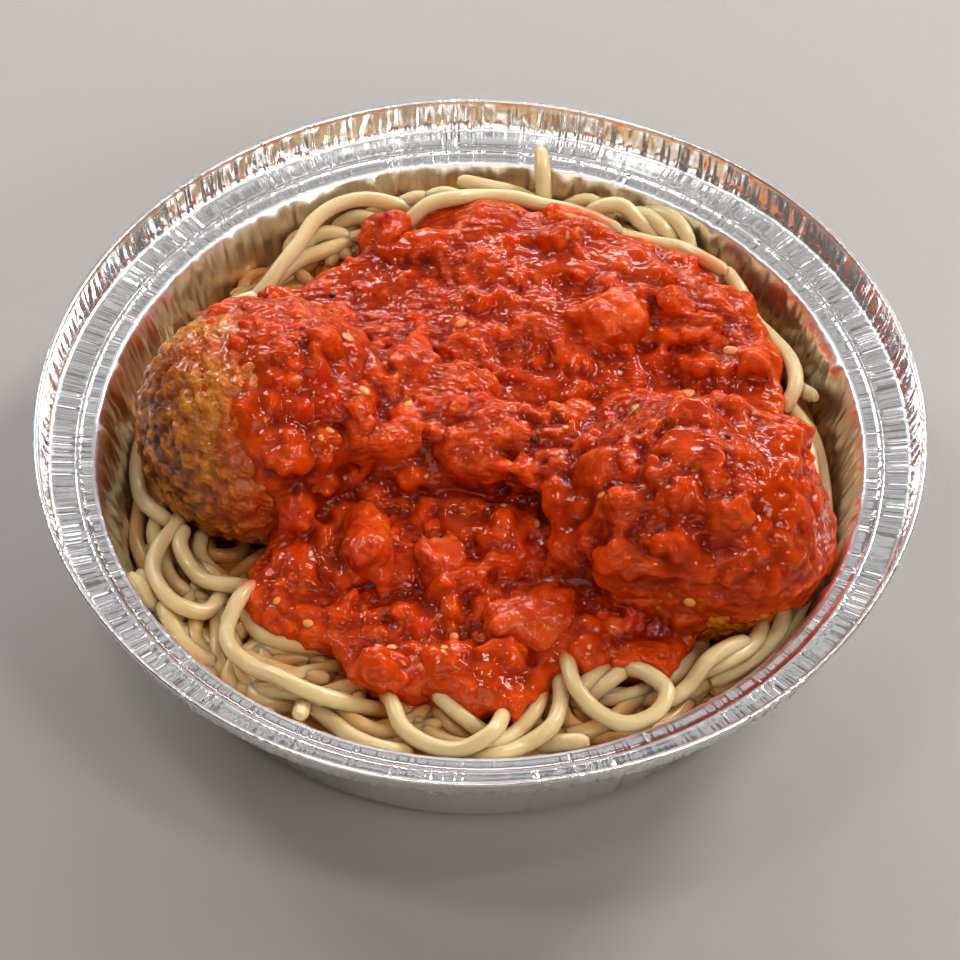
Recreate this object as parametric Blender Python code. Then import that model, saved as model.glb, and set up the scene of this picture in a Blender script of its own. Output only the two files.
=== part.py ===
"""Spaghetti with two meatballs and chunky tomato sauce in a round foil tray.

Metres, +Z up. The origin is the centre of the tray's underside, and the tray stands on Z = 0.
Lengths below are written in millimetres and turned into metres by MM.
"""

import math

import bmesh
import bpy
import numpy as np
from mathutils import Matrix, Vector

MM = 0.001
GAP = 0.35  # clearance between touching pieces

# Tray: a round seven-inch take-out pan
RIM_RADIUS = 90.5
RIM_HEIGHT = 44.5
BASE_RADIUS = 70.0
CORNER_RADIUS = 4.0
FLANGE_RADIUS = 80.2  # inner edge of the flat flange
FLANGE_HEIGHT = 36.2
LIP_RADIUS = 88.2  # foot of the upright lip
FOIL = 0.6  # stand-in thickness of the pressed foil
HEM_RADIUS = 0.55  # rolled edge on top of the lip
TRAY_SEGMENTS = 56

# Food: one fan of sectors, shared by the pasta heap and the sauce that lies on it
SECTORS = 44
SAUCE_RINGS = 8
PASTA_LEVEL = 25.5
PASTA_EDGE_RINGS = 3
SAUCE_EDGE = 1.1  # thickness at the sauce's outline
SAUCE_BODY = 4.6  # thickness of the plain sheet of sauce
SAUCE_COAT = 1.5  # thickness over a meatball
COAT_HEM = 30.5  # height at which a meatball's coat of sauce ends

# Meatballs: centre, half axes and turn about Z in degrees
MEATBALLS = {
    "meatball_left": ((-44.5, 5.0, 35.5), (26.0, 25.0, 24.0), 0.0),
    "meatball_right": ((43.5, -21.0, 36.5), (27.0, 23.0, 23.5), -6.0),
}

# The left meatball's coat stops at an upright plane: a point on it, and the bearing of its bare side
BARE_SIDE = ((-46.0, 0.0), 188.0)

# Outline of the sauce seen from above: bearing from +X in degrees, distance from the centre
SAUCE_OUTLINE = (
    (0, 62), (10, 66), (20, 69), (38, 71), (52, 74), (66, 72), (86, 70), (104, 70), (118, 67),
    (138, 64), (150, 55), (165, 47), (180, 44), (196, 42), (205, 44), (212, 55), (222, 59),
    (236, 55), (246, 59), (266, 61), (277, 64), (290, 57), (303, 60), (311, 66), (325, 71),
    (334, 74.6), (345, 71),
)  # fmt: skip

# Swells in the sauce: place, height gained, half widths along and across, bearing in degrees
SAUCE_SWELLS = (
    ((10.0, 36.0), 8.5, (42.0, 26.0), 0.0),
    ((-4.0, -8.0), 15.0, (28.0, 11.0), -14.0),
    ((-8.0, 12.0), 7.0, (18.0, 12.0), 0.0),
    ((8.0, -38.0), 4.5, (30.0, 12.0), 0.0),
)

# Tomato chunks: centre, full size, turn about Z and lean towards +Y in degrees
CHUNKS = (
    ((-22.0, -27.5, 37.0), (9.0, 17.0, 9.0), 8.0, -16.0),
    ((-6.5, -33.0, 37.0), (10.0, 10.0, 9.0), 20.0, -10.0),
    ((10.5, -47.0, 35.0), (15.0, 12.0, 10.0), -8.0, -14.0),
    ((-10.5, -56.0, 31.5), (12.0, 10.0, 9.0), 5.0, -12.0),
    ((30.0, -50.5, 29.6), (9.0, 8.0, 6.5), 15.0, -8.0),
    ((-20.5, 59.0, 35.5), (7.0, 8.0, 10.0), 30.0, 12.0),
    ((27.0, 31.0, 38.5), (15.0, 11.0, 9.0), 24.0, 0.0),
    ((9.0, 58.0, 34.5), (10.0, 8.0, 7.0), -12.0, 6.0),
)

FOIL_LOOK = ("foil", (0.80, 0.80, 0.81), 0.28, 1.0)
PASTA_LOOK = ("spaghetti", (0.78, 0.62, 0.32), 0.35, 0.0)
MEAT_LOOK = ("meatball", (0.27, 0.11, 0.035), 0.45, 0.0)
SAUCE_LOOK = ("tomato_sauce", (0.46, 0.035, 0.008), 0.25, 0.0)
CHUNK_LOOK = ("tomato_chunk", (0.60, 0.045, 0.012), 0.22, 0.0)


def clear_scene():
    for obj in list(bpy.data.objects):
        bpy.data.objects.remove(obj)


def material(look):
    name, colour, roughness, metallic = look
    made = bpy.data.materials.get(name)
    if made is None:
        made = bpy.data.materials.new(name)
        made.use_nodes = True
        shader = made.node_tree.nodes["Principled BSDF"]
        shader.inputs["Base Color"].default_value = (*colour, 1.0)
        shader.inputs["Roughness"].default_value = roughness
        shader.inputs["Metallic"].default_value = metallic
    return made


def add_object(name, bm, look):
    """Turns the bmesh, in millimetres, into a shaded object in metres."""
    bmesh.ops.scale(bm, vec=(MM, MM, MM), verts=bm.verts)
    bmesh.ops.recalc_face_normals(bm, faces=bm.faces)
    mesh = bpy.data.meshes.new(name)
    bm.to_mesh(mesh)
    bm.free()
    mesh.shade_smooth()
    mesh.set_sharp_from_angle(angle=math.radians(35))
    mesh.materials.append(material(look))
    obj = bpy.data.objects.new(name, mesh)
    bpy.context.scene.collection.objects.link(obj)
    return obj


def arc(centre, radius, start, end, steps):
    """Points of an arc in the (radius, height) plane, angles in degrees."""
    turns = np.radians(np.linspace(start, end, steps))
    return [(centre[0] + radius * math.cos(a), centre[1] + radius * math.sin(a)) for a in turns]


def offset(points, distance):
    """The polyline moved sideways, to its right when distance is positive."""
    line = np.array(points)
    runs = np.diff(line, axis=0)
    runs /= np.linalg.norm(runs, axis=1)[:, None]
    sides = np.stack([runs[:, 1], -runs[:, 0]], axis=1)
    before = np.vstack([sides[:1], sides])
    after = np.vstack([sides, sides[-1:]])
    corner = before + after
    corner /= (1.0 + (before * after).sum(axis=1))[:, None]
    return [tuple(p) for p in line + distance * corner]


def tray_inner_profile():
    """The face that touches the food, from the base's centre out to the lip."""
    corner_centre = (BASE_RADIUS - CORNER_RADIUS, CORNER_RADIUS)
    bottom_corner = arc(corner_centre, CORNER_RADIUS - FOIL, -90, -15, 4)
    return [
        (0.0, FOIL),
        *bottom_corner,
        (FLANGE_RADIUS - 1.1, FLANGE_HEIGHT - 1.2),
        (FLANGE_RADIUS, FLANGE_HEIGHT),
        (FLANGE_RADIUS + 3.1, FLANGE_HEIGHT + 0.3),
        (FLANGE_RADIUS + 3.7, FLANGE_HEIGHT + 0.9),
        (FLANGE_RADIUS + 4.4, FLANGE_HEIGHT + 0.5),
        (LIP_RADIUS - 0.7, FLANGE_HEIGHT + 1.0),
        (LIP_RADIUS, FLANGE_HEIGHT + 1.6),
        (RIM_RADIUS - 2.0 * HEM_RADIUS - 0.1, RIM_HEIGHT - 1.3),
    ]


def make_tray():
    inner = tray_inner_profile()
    outer = offset(inner, FOIL)
    hem_centre = (RIM_RADIUS - HEM_RADIUS, RIM_HEIGHT - HEM_RADIUS)
    hem = arc(hem_centre, HEM_RADIUS, 180, -60, 6)
    section = inner + hem + outer[::-1]
    bm = bmesh.new()
    verts = [bm.verts.new((r, 0.0, z)) for r, z in section]
    edges = [bm.edges.new(pair) for pair in zip(verts, verts[1:])]
    bmesh.ops.spin(
        bm, geom=verts + edges, cent=(0, 0, 0), axis=(0, 0, 1), angle=2 * math.pi, steps=TRAY_SEGMENTS
    )
    bmesh.ops.remove_doubles(bm, verts=bm.verts, dist=1e-3)
    return add_object("foil_tray", bm, FOIL_LOOK)


def wall_radius(height):
    """Inner radius of the tray's slanted wall at a height."""
    foot = BASE_RADIUS - FOIL
    share = (height - CORNER_RADIUS) / (FLANGE_HEIGHT - CORNER_RADIUS)
    return foot + (FLANGE_RADIUS - BASE_RADIUS) * np.maximum(share, 0.0)


def bump(x, y, place, half_widths, turn):
    """A soft round swell of height 1, falling to nothing at about twice its half widths."""
    c, s = math.cos(math.radians(turn)), math.sin(math.radians(turn))
    along = ((x - place[0]) * c + (y - place[1]) * s) / half_widths[0]
    across = (-(x - place[0]) * s + (y - place[1]) * c) / half_widths[1]
    return np.exp(-(along**2 + across**2))


def pasta_height(x, y):
    """Top of the heap of spaghetti: high at the front and back, low beside the wall left and right."""
    far = np.hypot(x, y) / wall_radius(PASTA_LEVEL)
    saddle = 4.2 * (y / 75.0) ** 2 - 2.4 * (x / 75.0) ** 2
    strands = 0.7 * np.sin(0.33 * x + 1.4 * np.sin(0.08 * y)) * np.sin(0.29 * y + 1.1 * np.sin(0.1 * x))
    shoulder = -2.4 * np.clip((far - 0.93) / 0.07, 0.0, 1.0) ** 2
    return PASTA_LEVEL + saddle + strands + shoulder


def sauce_height(x, y, share):
    """Top of the sheet of sauce, with its swells. share is 0 at the centre, 1 at the outline."""
    sheet = pasta_height(x, y) + GAP + SAUCE_EDGE
    inner = 1.0 - share**5
    sheet = sheet + (SAUCE_BODY - SAUCE_EDGE) * inner
    for place, gain, half_widths, turn in SAUCE_SWELLS:
        sheet = sheet + gain * inner * bump(x, y, place, half_widths, turn)
    return sheet


def outline_radius(bearing):
    """Distance of the sauce's outline at a bearing in degrees, by a smooth closed curve."""
    bearings = np.array([p[0] for p in SAUCE_OUTLINE], float)
    radii = np.array([p[1] for p in SAUCE_OUTLINE], float)
    bearings = np.concatenate([bearings[-2:] - 360, bearings, bearings[:2] + 360])
    radii = np.concatenate([radii[-2:], radii, radii[:2]])
    slopes = np.gradient(radii, bearings)
    at = np.searchsorted(bearings, bearing, side="right") - 1
    width = bearings[at + 1] - bearings[at]
    u = (bearing - bearings[at]) / width
    return (
        radii[at] * (1 + 2 * u) * (1 - u) ** 2
        + slopes[at] * width * u * (1 - u) ** 2
        + radii[at + 1] * u * u * (3 - 2 * u)
        + slopes[at + 1] * width * u * u * (u - 1)
    )


def fan_points(share):
    """Plan positions on one ring of the fan, share being the part of the way to the sauce's outline."""
    bearings = np.arange(SECTORS) * 360.0 / SECTORS
    radii = share * outline_radius(bearings)
    turns = np.radians(bearings)
    return radii * np.cos(turns), radii * np.sin(turns)


def add_ring(bm, x, y, z):
    return [bm.verts.new(point) for point in zip(x, y, z)]


def bridge(bm, lower, upper):
    """Joins two rings by triangles, whose diagonals match on faces that lie on each other."""
    for i in range(SECTORS):
        j = (i + 1) % SECTORS
        bm.faces.new((lower[i], lower[j], upper[j]))
        bm.faces.new((lower[i], upper[j], upper[i]))


def fan(bm, centre, ring):
    for i in range(SECTORS):
        bm.faces.new((centre, ring[i], ring[(i + 1) % SECTORS]))


def sheet_rings(bm, height):
    """The fan from its centre to the sauce's outline, at height(x, y, share). Returns the outer ring."""
    centre = bm.verts.new((0.0, 0.0, float(height(0.0, 0.0, 0.0))))
    rings = []
    for k in range(1, SAUCE_RINGS + 1):
        share = k / SAUCE_RINGS
        x, y = fan_points(share)
        rings.append(add_ring(bm, x, y, height(x, y, share)))
    fan(bm, centre, rings[0])
    for inner, outer in zip(rings, rings[1:]):
        bridge(bm, inner, outer)
    return rings[-1]


def make_pasta():
    """The heap, from the tray's base to its uneven top, clear of the foil all round."""
    bm = bmesh.new()
    outer = sheet_rings(bm, lambda x, y, share: pasta_height(x, y))
    edge_x, edge_y = fan_points(1.0)
    edge_radius = np.hypot(edge_x, edge_y)
    rim = wall_radius(PASTA_LEVEL - 3.0) - GAP - 0.1
    for k in range(1, PASTA_EDGE_RINGS + 1):
        radius = edge_radius + (rim - edge_radius) * k / PASTA_EDGE_RINGS
        x, y = edge_x * radius / edge_radius, edge_y * radius / edge_radius
        ring = add_ring(bm, x, y, pasta_height(x, y))
        bridge(bm, outer, ring)
        outer = ring
    unit_x, unit_y = edge_x / edge_radius, edge_y / edge_radius
    low_corner = BASE_RADIUS - CORNER_RADIUS - GAP
    for radius, z in (
        (wall_radius(CORNER_RADIUS) - GAP - 0.3, CORNER_RADIUS),
        (low_corner, FOIL + GAP),
    ):
        ring = add_ring(bm, radius * unit_x, radius * unit_y, np.full(SECTORS, z))
        bridge(bm, outer, ring)
        outer = ring
    fan(bm, bm.verts.new((0.0, 0.0, FOIL + GAP)), outer)
    return add_object("spaghetti", bm, PASTA_LOOK)


def make_sauce():
    bm = bmesh.new()
    under = sheet_rings(bm, lambda x, y, share: pasta_height(x, y) + GAP)
    over = sheet_rings(bm, sauce_height)
    bridge(bm, under, over)
    return add_object("tomato_sauce", bm, SAUCE_LOOK)


def as_cutter(obj):
    obj.hide_render = True
    obj.display_type = "WIRE"
    return obj


def lumps(p, depth):
    """Smooth uneven push along a direction p, for meat and tomato."""
    return depth * (
        math.sin(3.1 * p.x + 1.7 * p.y) * math.sin(2.7 * p.y - 1.3 * p.z)
        + 0.6 * math.sin(5.3 * p.z + 2.1 * p.x) * math.sin(4.9 * p.y + 0.7)
    )


def make_meatball(name, centre, half_axes, turn, grown=0.0):
    """A ball rolled by hand: an ellipsoid with shallow lumps."""
    bm = bmesh.new()
    bmesh.ops.create_uvsphere(bm, u_segments=20, v_segments=13, radius=1.0)
    for vert in bm.verts:
        p = vert.co.normalized()
        size = 1.0 + lumps(p, 0.006)
        vert.co = Vector([p[i] * (half_axes[i] * size + grown) for i in range(3)])
    place = Matrix.Translation(centre) @ Matrix.Rotation(math.radians(turn), 4, "Z")
    bmesh.ops.transform(bm, matrix=place, verts=bm.verts)
    return add_object(name, bm, MEAT_LOOK)


def make_coat(name, ball):
    """The sauce that clings to a meatball: a slightly larger ball, cut off level above the pasta."""
    coat = make_meatball(name, *ball, grown=SAUCE_COAT)
    planes = [((0.0, 0.0, COAT_HEM), (0.0, 0.0, -1.0))]
    if ball is MEATBALLS["meatball_left"]:
        (x, y), bearing = BARE_SIDE
        turn = math.radians(bearing)
        planes.append(((x, y, 0.0), (math.cos(turn), math.sin(turn), 0.0)))
    bm = bmesh.new()
    bm.from_mesh(coat.data)
    for point, away in planes:
        geom = bm.verts[:] + bm.edges[:] + bm.faces[:]
        cut_made = bmesh.ops.bisect_plane(
            bm, geom=geom, plane_co=Vector(point) * MM, plane_no=away, clear_outer=True
        )
        rim = [e for e in cut_made["geom_cut"] if isinstance(e, bmesh.types.BMEdge)]
        bmesh.ops.holes_fill(bm, edges=rim)
    bm.to_mesh(coat.data)
    bm.free()
    return as_cutter(coat)


def make_chunk(name, centre, size, turn, lean, grown=0.0):
    """A diced piece of cooked tomato: a block with soft corners and uneven faces."""
    bm = bmesh.new()
    bmesh.ops.create_cube(bm, size=2.0)
    bmesh.ops.subdivide_edges(bm, edges=bm.edges, cuts=2, use_grid_fill=True)
    for vert in bm.verts:
        p = vert.co.copy()
        roundness = sum(abs(c) ** 3 for c in p) ** (-1 / 3)
        p *= roundness * (1.0 + lumps(p + Vector(centre) * 0.1, 0.04))
        vert.co = Vector([p[i] * (size[i] / 2 + grown) for i in range(3)])
    place = (
        Matrix.Translation(centre)
        @ Matrix.Rotation(math.radians(turn), 4, "Z")
        @ Matrix.Rotation(math.radians(lean), 4, "X")
    )
    bmesh.ops.transform(bm, matrix=place, verts=bm.verts)
    return add_object(name, bm, CHUNK_LOOK)


def combine(obj, others, operation):
    for other in others:
        step = obj.modifiers.new(other.name, "BOOLEAN")
        step.operation = operation
        step.solver = "EXACT"
        step.object = other


def main():
    clear_scene()
    make_tray()
    pasta = make_pasta()
    sauce = make_sauce()
    coats = []
    pockets = []
    for name, ball in MEATBALLS.items():
        make_meatball(name, *ball)
        coats.append(make_coat(name + "_coat", ball))
        pockets.append(as_cutter(make_meatball(name + "_pocket", *ball, grown=GAP)))
    for number, piece in enumerate(CHUNKS, start=1):
        name = f"tomato_chunk_{number}"
        make_chunk(name, *piece)
        pockets.append(as_cutter(make_chunk(name + "_pocket", *piece, grown=GAP)))
    combine(sauce, coats, "UNION")
    combine(sauce, pockets, "DIFFERENCE")
    combine(pasta, pockets, "DIFFERENCE")


main()
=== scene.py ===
# %% [markdown]
# # Foil tray meal
# A round carry-out pan of soft aluminium foil, 181 mm across its rim. It holds a heap of
# cooked spaghetti, a ladle of wet tomato sauce with pieces of tomato in it, and two
# meatballs, the left one only partly covered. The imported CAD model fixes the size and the
# place of everything. This script makes the looks, piece by piece, in the order in which
# the meal is filled: pan, noodles, meatballs, sauce, then the small things on top.

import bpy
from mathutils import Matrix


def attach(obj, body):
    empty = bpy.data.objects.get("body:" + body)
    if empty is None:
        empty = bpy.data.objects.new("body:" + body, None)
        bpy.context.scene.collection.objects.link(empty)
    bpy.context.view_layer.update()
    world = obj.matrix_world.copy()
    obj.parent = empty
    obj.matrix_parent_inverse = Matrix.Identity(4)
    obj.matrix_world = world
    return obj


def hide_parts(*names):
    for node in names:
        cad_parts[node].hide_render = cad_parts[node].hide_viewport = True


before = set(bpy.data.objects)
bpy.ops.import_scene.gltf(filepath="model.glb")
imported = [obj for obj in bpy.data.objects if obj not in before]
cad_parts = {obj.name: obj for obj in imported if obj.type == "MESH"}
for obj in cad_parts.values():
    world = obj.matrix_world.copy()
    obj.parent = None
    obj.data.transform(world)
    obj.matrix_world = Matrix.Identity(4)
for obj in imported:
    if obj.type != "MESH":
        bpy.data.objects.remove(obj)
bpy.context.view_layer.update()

# %% Tools from Blender and numpy
import math

import bmesh
import bpy
import numpy as np
from mathutils import Euler, Matrix, Vector

MM = 0.001
print("CAD nodes:", ", ".join(sorted(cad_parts)))

# %% [markdown]
# ## Camera, light and floor
# A meal like this is seen by someone who sits at the table: a long lens, about 50 degrees
# above the horizon. Wet sauce and foil show what they mirror more than their own colour, so
# the lamps count for more here than the paint. A low window behind the tray puts the small
# highlights on the sauce, and small lamps round the table model its lumps. Bare foil would
# blow out under the same lamps. So foil and food are two groups, each with a window and
# overhead strips of its own, as light is flagged off part of a studio set. The other lamps
# light both.

# %% Camera, light and floor
LENS_MM = 150.0
CAMERA_PLACE = (0.0, -0.52727, 0.66845)
CAMERA_DOWN, CAMERA_YAW, CAMERA_ROLL = 50.7, 0.057, 1.03


def linear(hex_colour):
    """A colour given as sRGB hex, as linear RGBA."""
    parts = [int(hex_colour[i : i + 2], 16) / 255 for i in (1, 3, 5)]
    return (*[c / 12.92 if c <= 0.04045 else ((c + 0.055) / 1.055) ** 2.4 for c in parts], 1.0)


camera_data = bpy.data.cameras.new("camera")
camera_data.lens = LENS_MM
camera_data.clip_start, camera_data.clip_end = 0.05, 20.0
camera = bpy.data.objects.new("camera", camera_data)
camera.matrix_world = (
    Matrix.Translation(CAMERA_PLACE)
    @ Matrix.Rotation(math.radians(-CAMERA_YAW), 4, "Z")
    @ Matrix.Rotation(math.radians(90 - CAMERA_DOWN), 4, "X")
    @ Matrix.Rotation(math.radians(CAMERA_ROLL), 4, "Z")
)
bpy.context.scene.collection.objects.link(camera)
bpy.context.scene.camera = camera


on_metal = bpy.data.collections.new("lit for the metal")
on_food = bpy.data.collections.new("lit for the food")


def softbox(name, place, size, watts, colour, only=None):
    """A rectangular light in metres, turned towards the tray. only names the one group that it lights."""
    data = bpy.data.lights.new(name, "AREA")
    data.shape = "RECTANGLE"
    data.size, data.size_y = size
    data.energy = watts
    data.color = linear(colour)[:3]
    lamp = bpy.data.objects.new(name, data)
    lamp.location = place
    lamp.rotation_euler = (-Vector(place)).to_track_quat("-Z", "Y").to_euler()
    bpy.context.scene.collection.objects.link(lamp)
    if only:
        lamp.light_linking.receiver_collection = only


softbox("window", (0.15, 1.70, 0.75), (1.9, 0.27), 22.0, "#F7F4F8", on_food)
softbox("window_on_metal", (0.15, 1.70, 0.75), (1.9, 0.30), 3.6, "#F7F4F8", on_metal)
softbox("ceiling_on_metal", (0.0, 0.60, 1.90), (3.4, 3.0), 1.6, "#F4F2F3", on_metal)
softbox("strip_on_metal", (0.0, 0.05, 1.95), (3.0, 0.30), 2.4, "#F4F2F3", on_metal)
STRIP_DISTANCE = 2.0
for tilt in (50, 63, 76):
    away = STRIP_DISTANCE * math.cos(math.radians(tilt))
    up = STRIP_DISTANCE * math.sin(math.radians(tilt))
    softbox(f"strip_{tilt}_on_metal", (0.0, away, up), (2.6, 0.20), 1.0, "#F4F2F3", on_metal)
softbox("over_back", (0.0, 1.08, 1.68), (2.4, 1.45), 3.7, "#F2EFF4", on_food)
softbox("over_strip", (0.10, 1.38, 1.48), (1.9, 0.34), 0.4, "#F2EFF4", on_food)
softbox("high_left", (-0.45, -0.10, 1.65), (0.22, 0.22), 2.9, "#FFFAF4")
softbox("high_right", (0.50, -0.35, 1.60), (0.22, 0.22), 2.5, "#FFFAF4")
softbox("back_right", (0.82, 0.62, 0.78), (0.30, 0.30), 4.2, "#FBF7F6")
softbox("back_left", (-0.78, 0.66, 0.76), (0.30, 0.30), 3.8, "#F8F6F8")
softbox("front_right", (0.75, -0.60, 0.80), (0.40, 0.40), 3.6, "#FFF7F0")
softbox("front_fill", (-0.35, -1.30, 1.00), (1.2, 0.8), 4.8, "#FFF6EE")

world = bpy.data.worlds.new("room")
world.use_nodes = True
world.node_tree.nodes["Background"].inputs["Color"].default_value = linear("#E6E0DA")
world.node_tree.nodes["Background"].inputs["Strength"].default_value = 0.13
bpy.context.scene.world = world
bpy.context.scene.view_settings.view_transform = "Standard"
bpy.context.scene.view_settings.look = "Medium High Contrast"

# %% [markdown]
# ## Small helpers
# One function makes a mesh object from arrays in millimetres. One adds a node to any node
# tree, for materials and for Geometry Nodes alike, and links what feeds it. One runs a
# Geometry Nodes tree on an object and keeps the mesh that it makes. The last one parents a
# finished piece to the tray's root, hides the CAD nodes it stands for and puts it in the group of lamps that
# lights it.

# %% Small helpers
def make_object(name, points, edges=(), faces=()):
    """An object from points in millimetres. Its own place stays at the origin."""
    mesh = bpy.data.meshes.new(name)
    mesh.from_pydata(np.asarray(points, float) * MM, edges, faces)
    mesh.shade_smooth()
    mesh.update()
    obj = bpy.data.objects.new(name, mesh)
    bpy.context.scene.collection.objects.link(obj)
    return obj


def give(obj, name, values):
    """Stores one number, or one vector, for each point of the mesh."""
    values = np.asarray(values, np.float32)
    kind, key = ("FLOAT_VECTOR", "vector") if values.ndim == 2 else ("FLOAT", "value")
    attribute = obj.data.attributes.new(name, kind, "POINT")
    attribute.data.foreach_set(key, values.ravel())


def add(tree, kind, inputs=None, **settings):
    """Adds one node. inputs maps a socket to a value, or to the node or socket that feeds it."""
    node = tree.nodes.new(kind)
    for key, value in settings.items():
        setattr(node, key, value)
    for key, value in (inputs or {}).items():
        if isinstance(value, bpy.types.Node):
            value = value.outputs[0]
        if isinstance(value, bpy.types.NodeSocket):
            tree.links.new(value, node.inputs[key])
        else:
            node.inputs[key].default_value = value
    return node


def new_nodes(name, **sockets):
    """A Geometry Nodes tree with these inputs beside the geometry. Returns it and its input node."""
    tree = bpy.data.node_groups.new(name, "GeometryNodeTree")
    tree.interface.new_socket("Geometry", in_out="INPUT", socket_type="NodeSocketGeometry")
    for label, kind in sockets.items():
        tree.interface.new_socket(label, in_out="INPUT", socket_type="NodeSocket" + kind)
    tree.interface.new_socket("Geometry", in_out="OUTPUT", socket_type="NodeSocketGeometry")
    return tree, tree.nodes.new("NodeGroupInput")


def close_nodes(tree, geometry, material):
    """Ends a tree: instances made real, the material set, the result sent out."""
    real = add(tree, "GeometryNodeRealizeInstances", {"Geometry": geometry})
    smooth = add(tree, "GeometryNodeSetShadeSmooth", {"Geometry": real})
    look = add(tree, "GeometryNodeSetMaterial", {"Geometry": smooth, "Material": material})
    add(tree, "NodeGroupOutput", {"Geometry": look})


def keep_mesh(obj):
    """Makes what the modifiers give the object's own mesh."""
    graph = bpy.context.evaluated_depsgraph_get()
    mesh = bpy.data.meshes.new_from_object(obj.evaluated_get(graph), depsgraph=graph)
    obj.modifiers.clear()
    mesh.name = obj.name
    obj.data = mesh
    return obj


def run_nodes(obj, tree, **values):
    """Runs the tree on obj with these values of its inputs, and keeps the mesh that it makes."""
    modifier = obj.modifiers.new(tree.name, "NODES")
    modifier.node_group = tree
    for item in tree.interface.items_tree:
        if item.in_out == "INPUT" and item.name in values:
            modifier[item.identifier] = values[item.name]
    return keep_mesh(obj)


def new_material(name):
    """A material, its node tree and its Principled shader."""
    material = bpy.data.materials.new(name)
    material.use_nodes = True
    return material, material.node_tree, material.node_tree.nodes["Principled BSDF"]


def set_values(shader, values):
    """Sets what is the same all over a surface, on the shader's own sockets."""
    for name, value in values.items():
        shader.inputs[name].default_value = value


def finish_piece(obj, material_slot, *nodes):
    """Parents a piece to the tray's root: it rides on the tray and stands for these CAD nodes, which are
    hidden.
    """
    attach(obj, "root")
    if nodes:
        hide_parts(*nodes)
    (on_metal if material_slot == "foil" else on_food).objects.link(obj)
    print(obj.name, len(obj.data.vertices), "points,", len(obj.data.polygons), "faces")


def smooth_step(x):
    """0 below 0, 1 above 1 and an even curve between."""
    x = np.clip(x, 0.0, 1.0)
    return x * x * (3 - 2 * x)


# %% [markdown]
# ## Floor
# A wide matte sheet that the tray stands on, of warm pale grey, with nothing on it.

# %% Floor
FLOOR_HALF = 2500
floor_corners = [(FLOOR_HALF * x, FLOOR_HALF * y, 0) for x, y in ((-1, -1), (1, -1), (1, 1), (-1, 1))]
floor = make_object("floor", floor_corners, faces=[(0, 1, 2, 3)])
floor_look, tree, shader = new_material("matte pale floor")
set_values(shader, {"Base Color": linear("#A6A4A1"), "Roughness": 0.8})
floor.data.materials.append(floor_look)
on_food.objects.link(floor)

# %% [markdown]
# ## The pan's shape
# The pan is pressed from one disc of foil about a tenth of a millimetre thick. The press
# gives a flat base, a slanted wall, a flat flange with a bead, a short standing lip and a
# rolled hem. Where a flat disc is forced into a cone the spare metal gathers in pleats, so
# the wall, the flange and the lip are all crimped. Here one line of the section is turned
# round the axis. Each point keeps how far round it is, which way is out, and how much of
# each kind of crimp it takes, and Geometry Nodes then presses the crimps in. That way the
# number and the depth of the crimps are plain settings.

# %% The pan's section
TURNS = 1680
SHEET = 0.12
BASE_RADIUS, CORNER = 69.4, 3.4
HEM_CENTRE, HEM_RADIUS = (90.35, 43.9), 0.55

corner_arc = [
    (BASE_RADIUS - CORNER + CORNER * math.sin(a), 0.6 + CORNER - CORNER * math.cos(a))
    for a in np.radians([0, 25, 50, 73])
]
up_the_wall = (0.06, 0.2, 0.36, 0.5, 0.61, 0.7, 0.78, 0.85, 0.91, 0.96, 1.0)
wall = [(69.6 + 9.6 * t, 4.0 + 31.4 * t) for t in up_the_wall]
flange = [
    (79.38, 35.95), (79.75, 36.2), (80.6, 36.25), (81.6, 36.3), (82.3, 36.4), (82.7, 36.65), (83.1, 36.95),
    (83.5, 36.65), (84.0, 36.6), (85.0, 36.75), (86.2, 36.9), (87.3, 37.05), (88.0, 37.2),
]
lip = [(88.5, 37.6), (88.8, 38.6), (89.1, 39.8), (89.35, 41.0), (89.6, 42.2), (89.75, 43.2)]
hem = [
    (HEM_CENTRE[0] + HEM_RADIUS * math.cos(a), HEM_CENTRE[1] + HEM_RADIUS * math.sin(a))
    for a in np.radians([170, 125, 80, 35, -10, -55, -100])
]
centre_line = np.array([(20.0, 0.6), (55.0, 0.6), *corner_arc, *wall, *flange, *lip, *hem])


def bell(x, centre, width):
    return np.exp(-(((x - centre) / width) ** 2))


def revolve(section, turns):
    """Closed skin of a closed section round the axis: its points by turn, and its quads."""
    count = len(section)
    ring, point = np.meshgrid(np.arange(turns), np.arange(count), indexing="ij")
    after, beyond = (ring + 1) % turns, (point + 1) % count
    return np.stack(
        [ring * count + point, after * count + point, after * count + beyond, ring * count + beyond], axis=-1
    ).reshape(-1, 4)


along = np.gradient(centre_line, axis=0)
along /= np.linalg.norm(along, axis=1)[:, None]
sideways = np.stack([-along[:, 1], along[:, 0]], axis=1)
# The inner skin keeps nearly all points of the line, the outer skin, which is seen less, about half.
inner = [k for k in range(len(centre_line)) if k not in (2, 4, 7)]
outer = [42, 40, 38, 36, 35, 32, 29, 26, 23, 20, 17, 16, 14, 11, 8, 5, 4, 2, 1]
section = np.vstack([(centre_line + SHEET * sideways)[inner], (centre_line - SHEET * sideways)[outer]])
push = np.vstack([sideways[inner], sideways[outer]])

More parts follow.
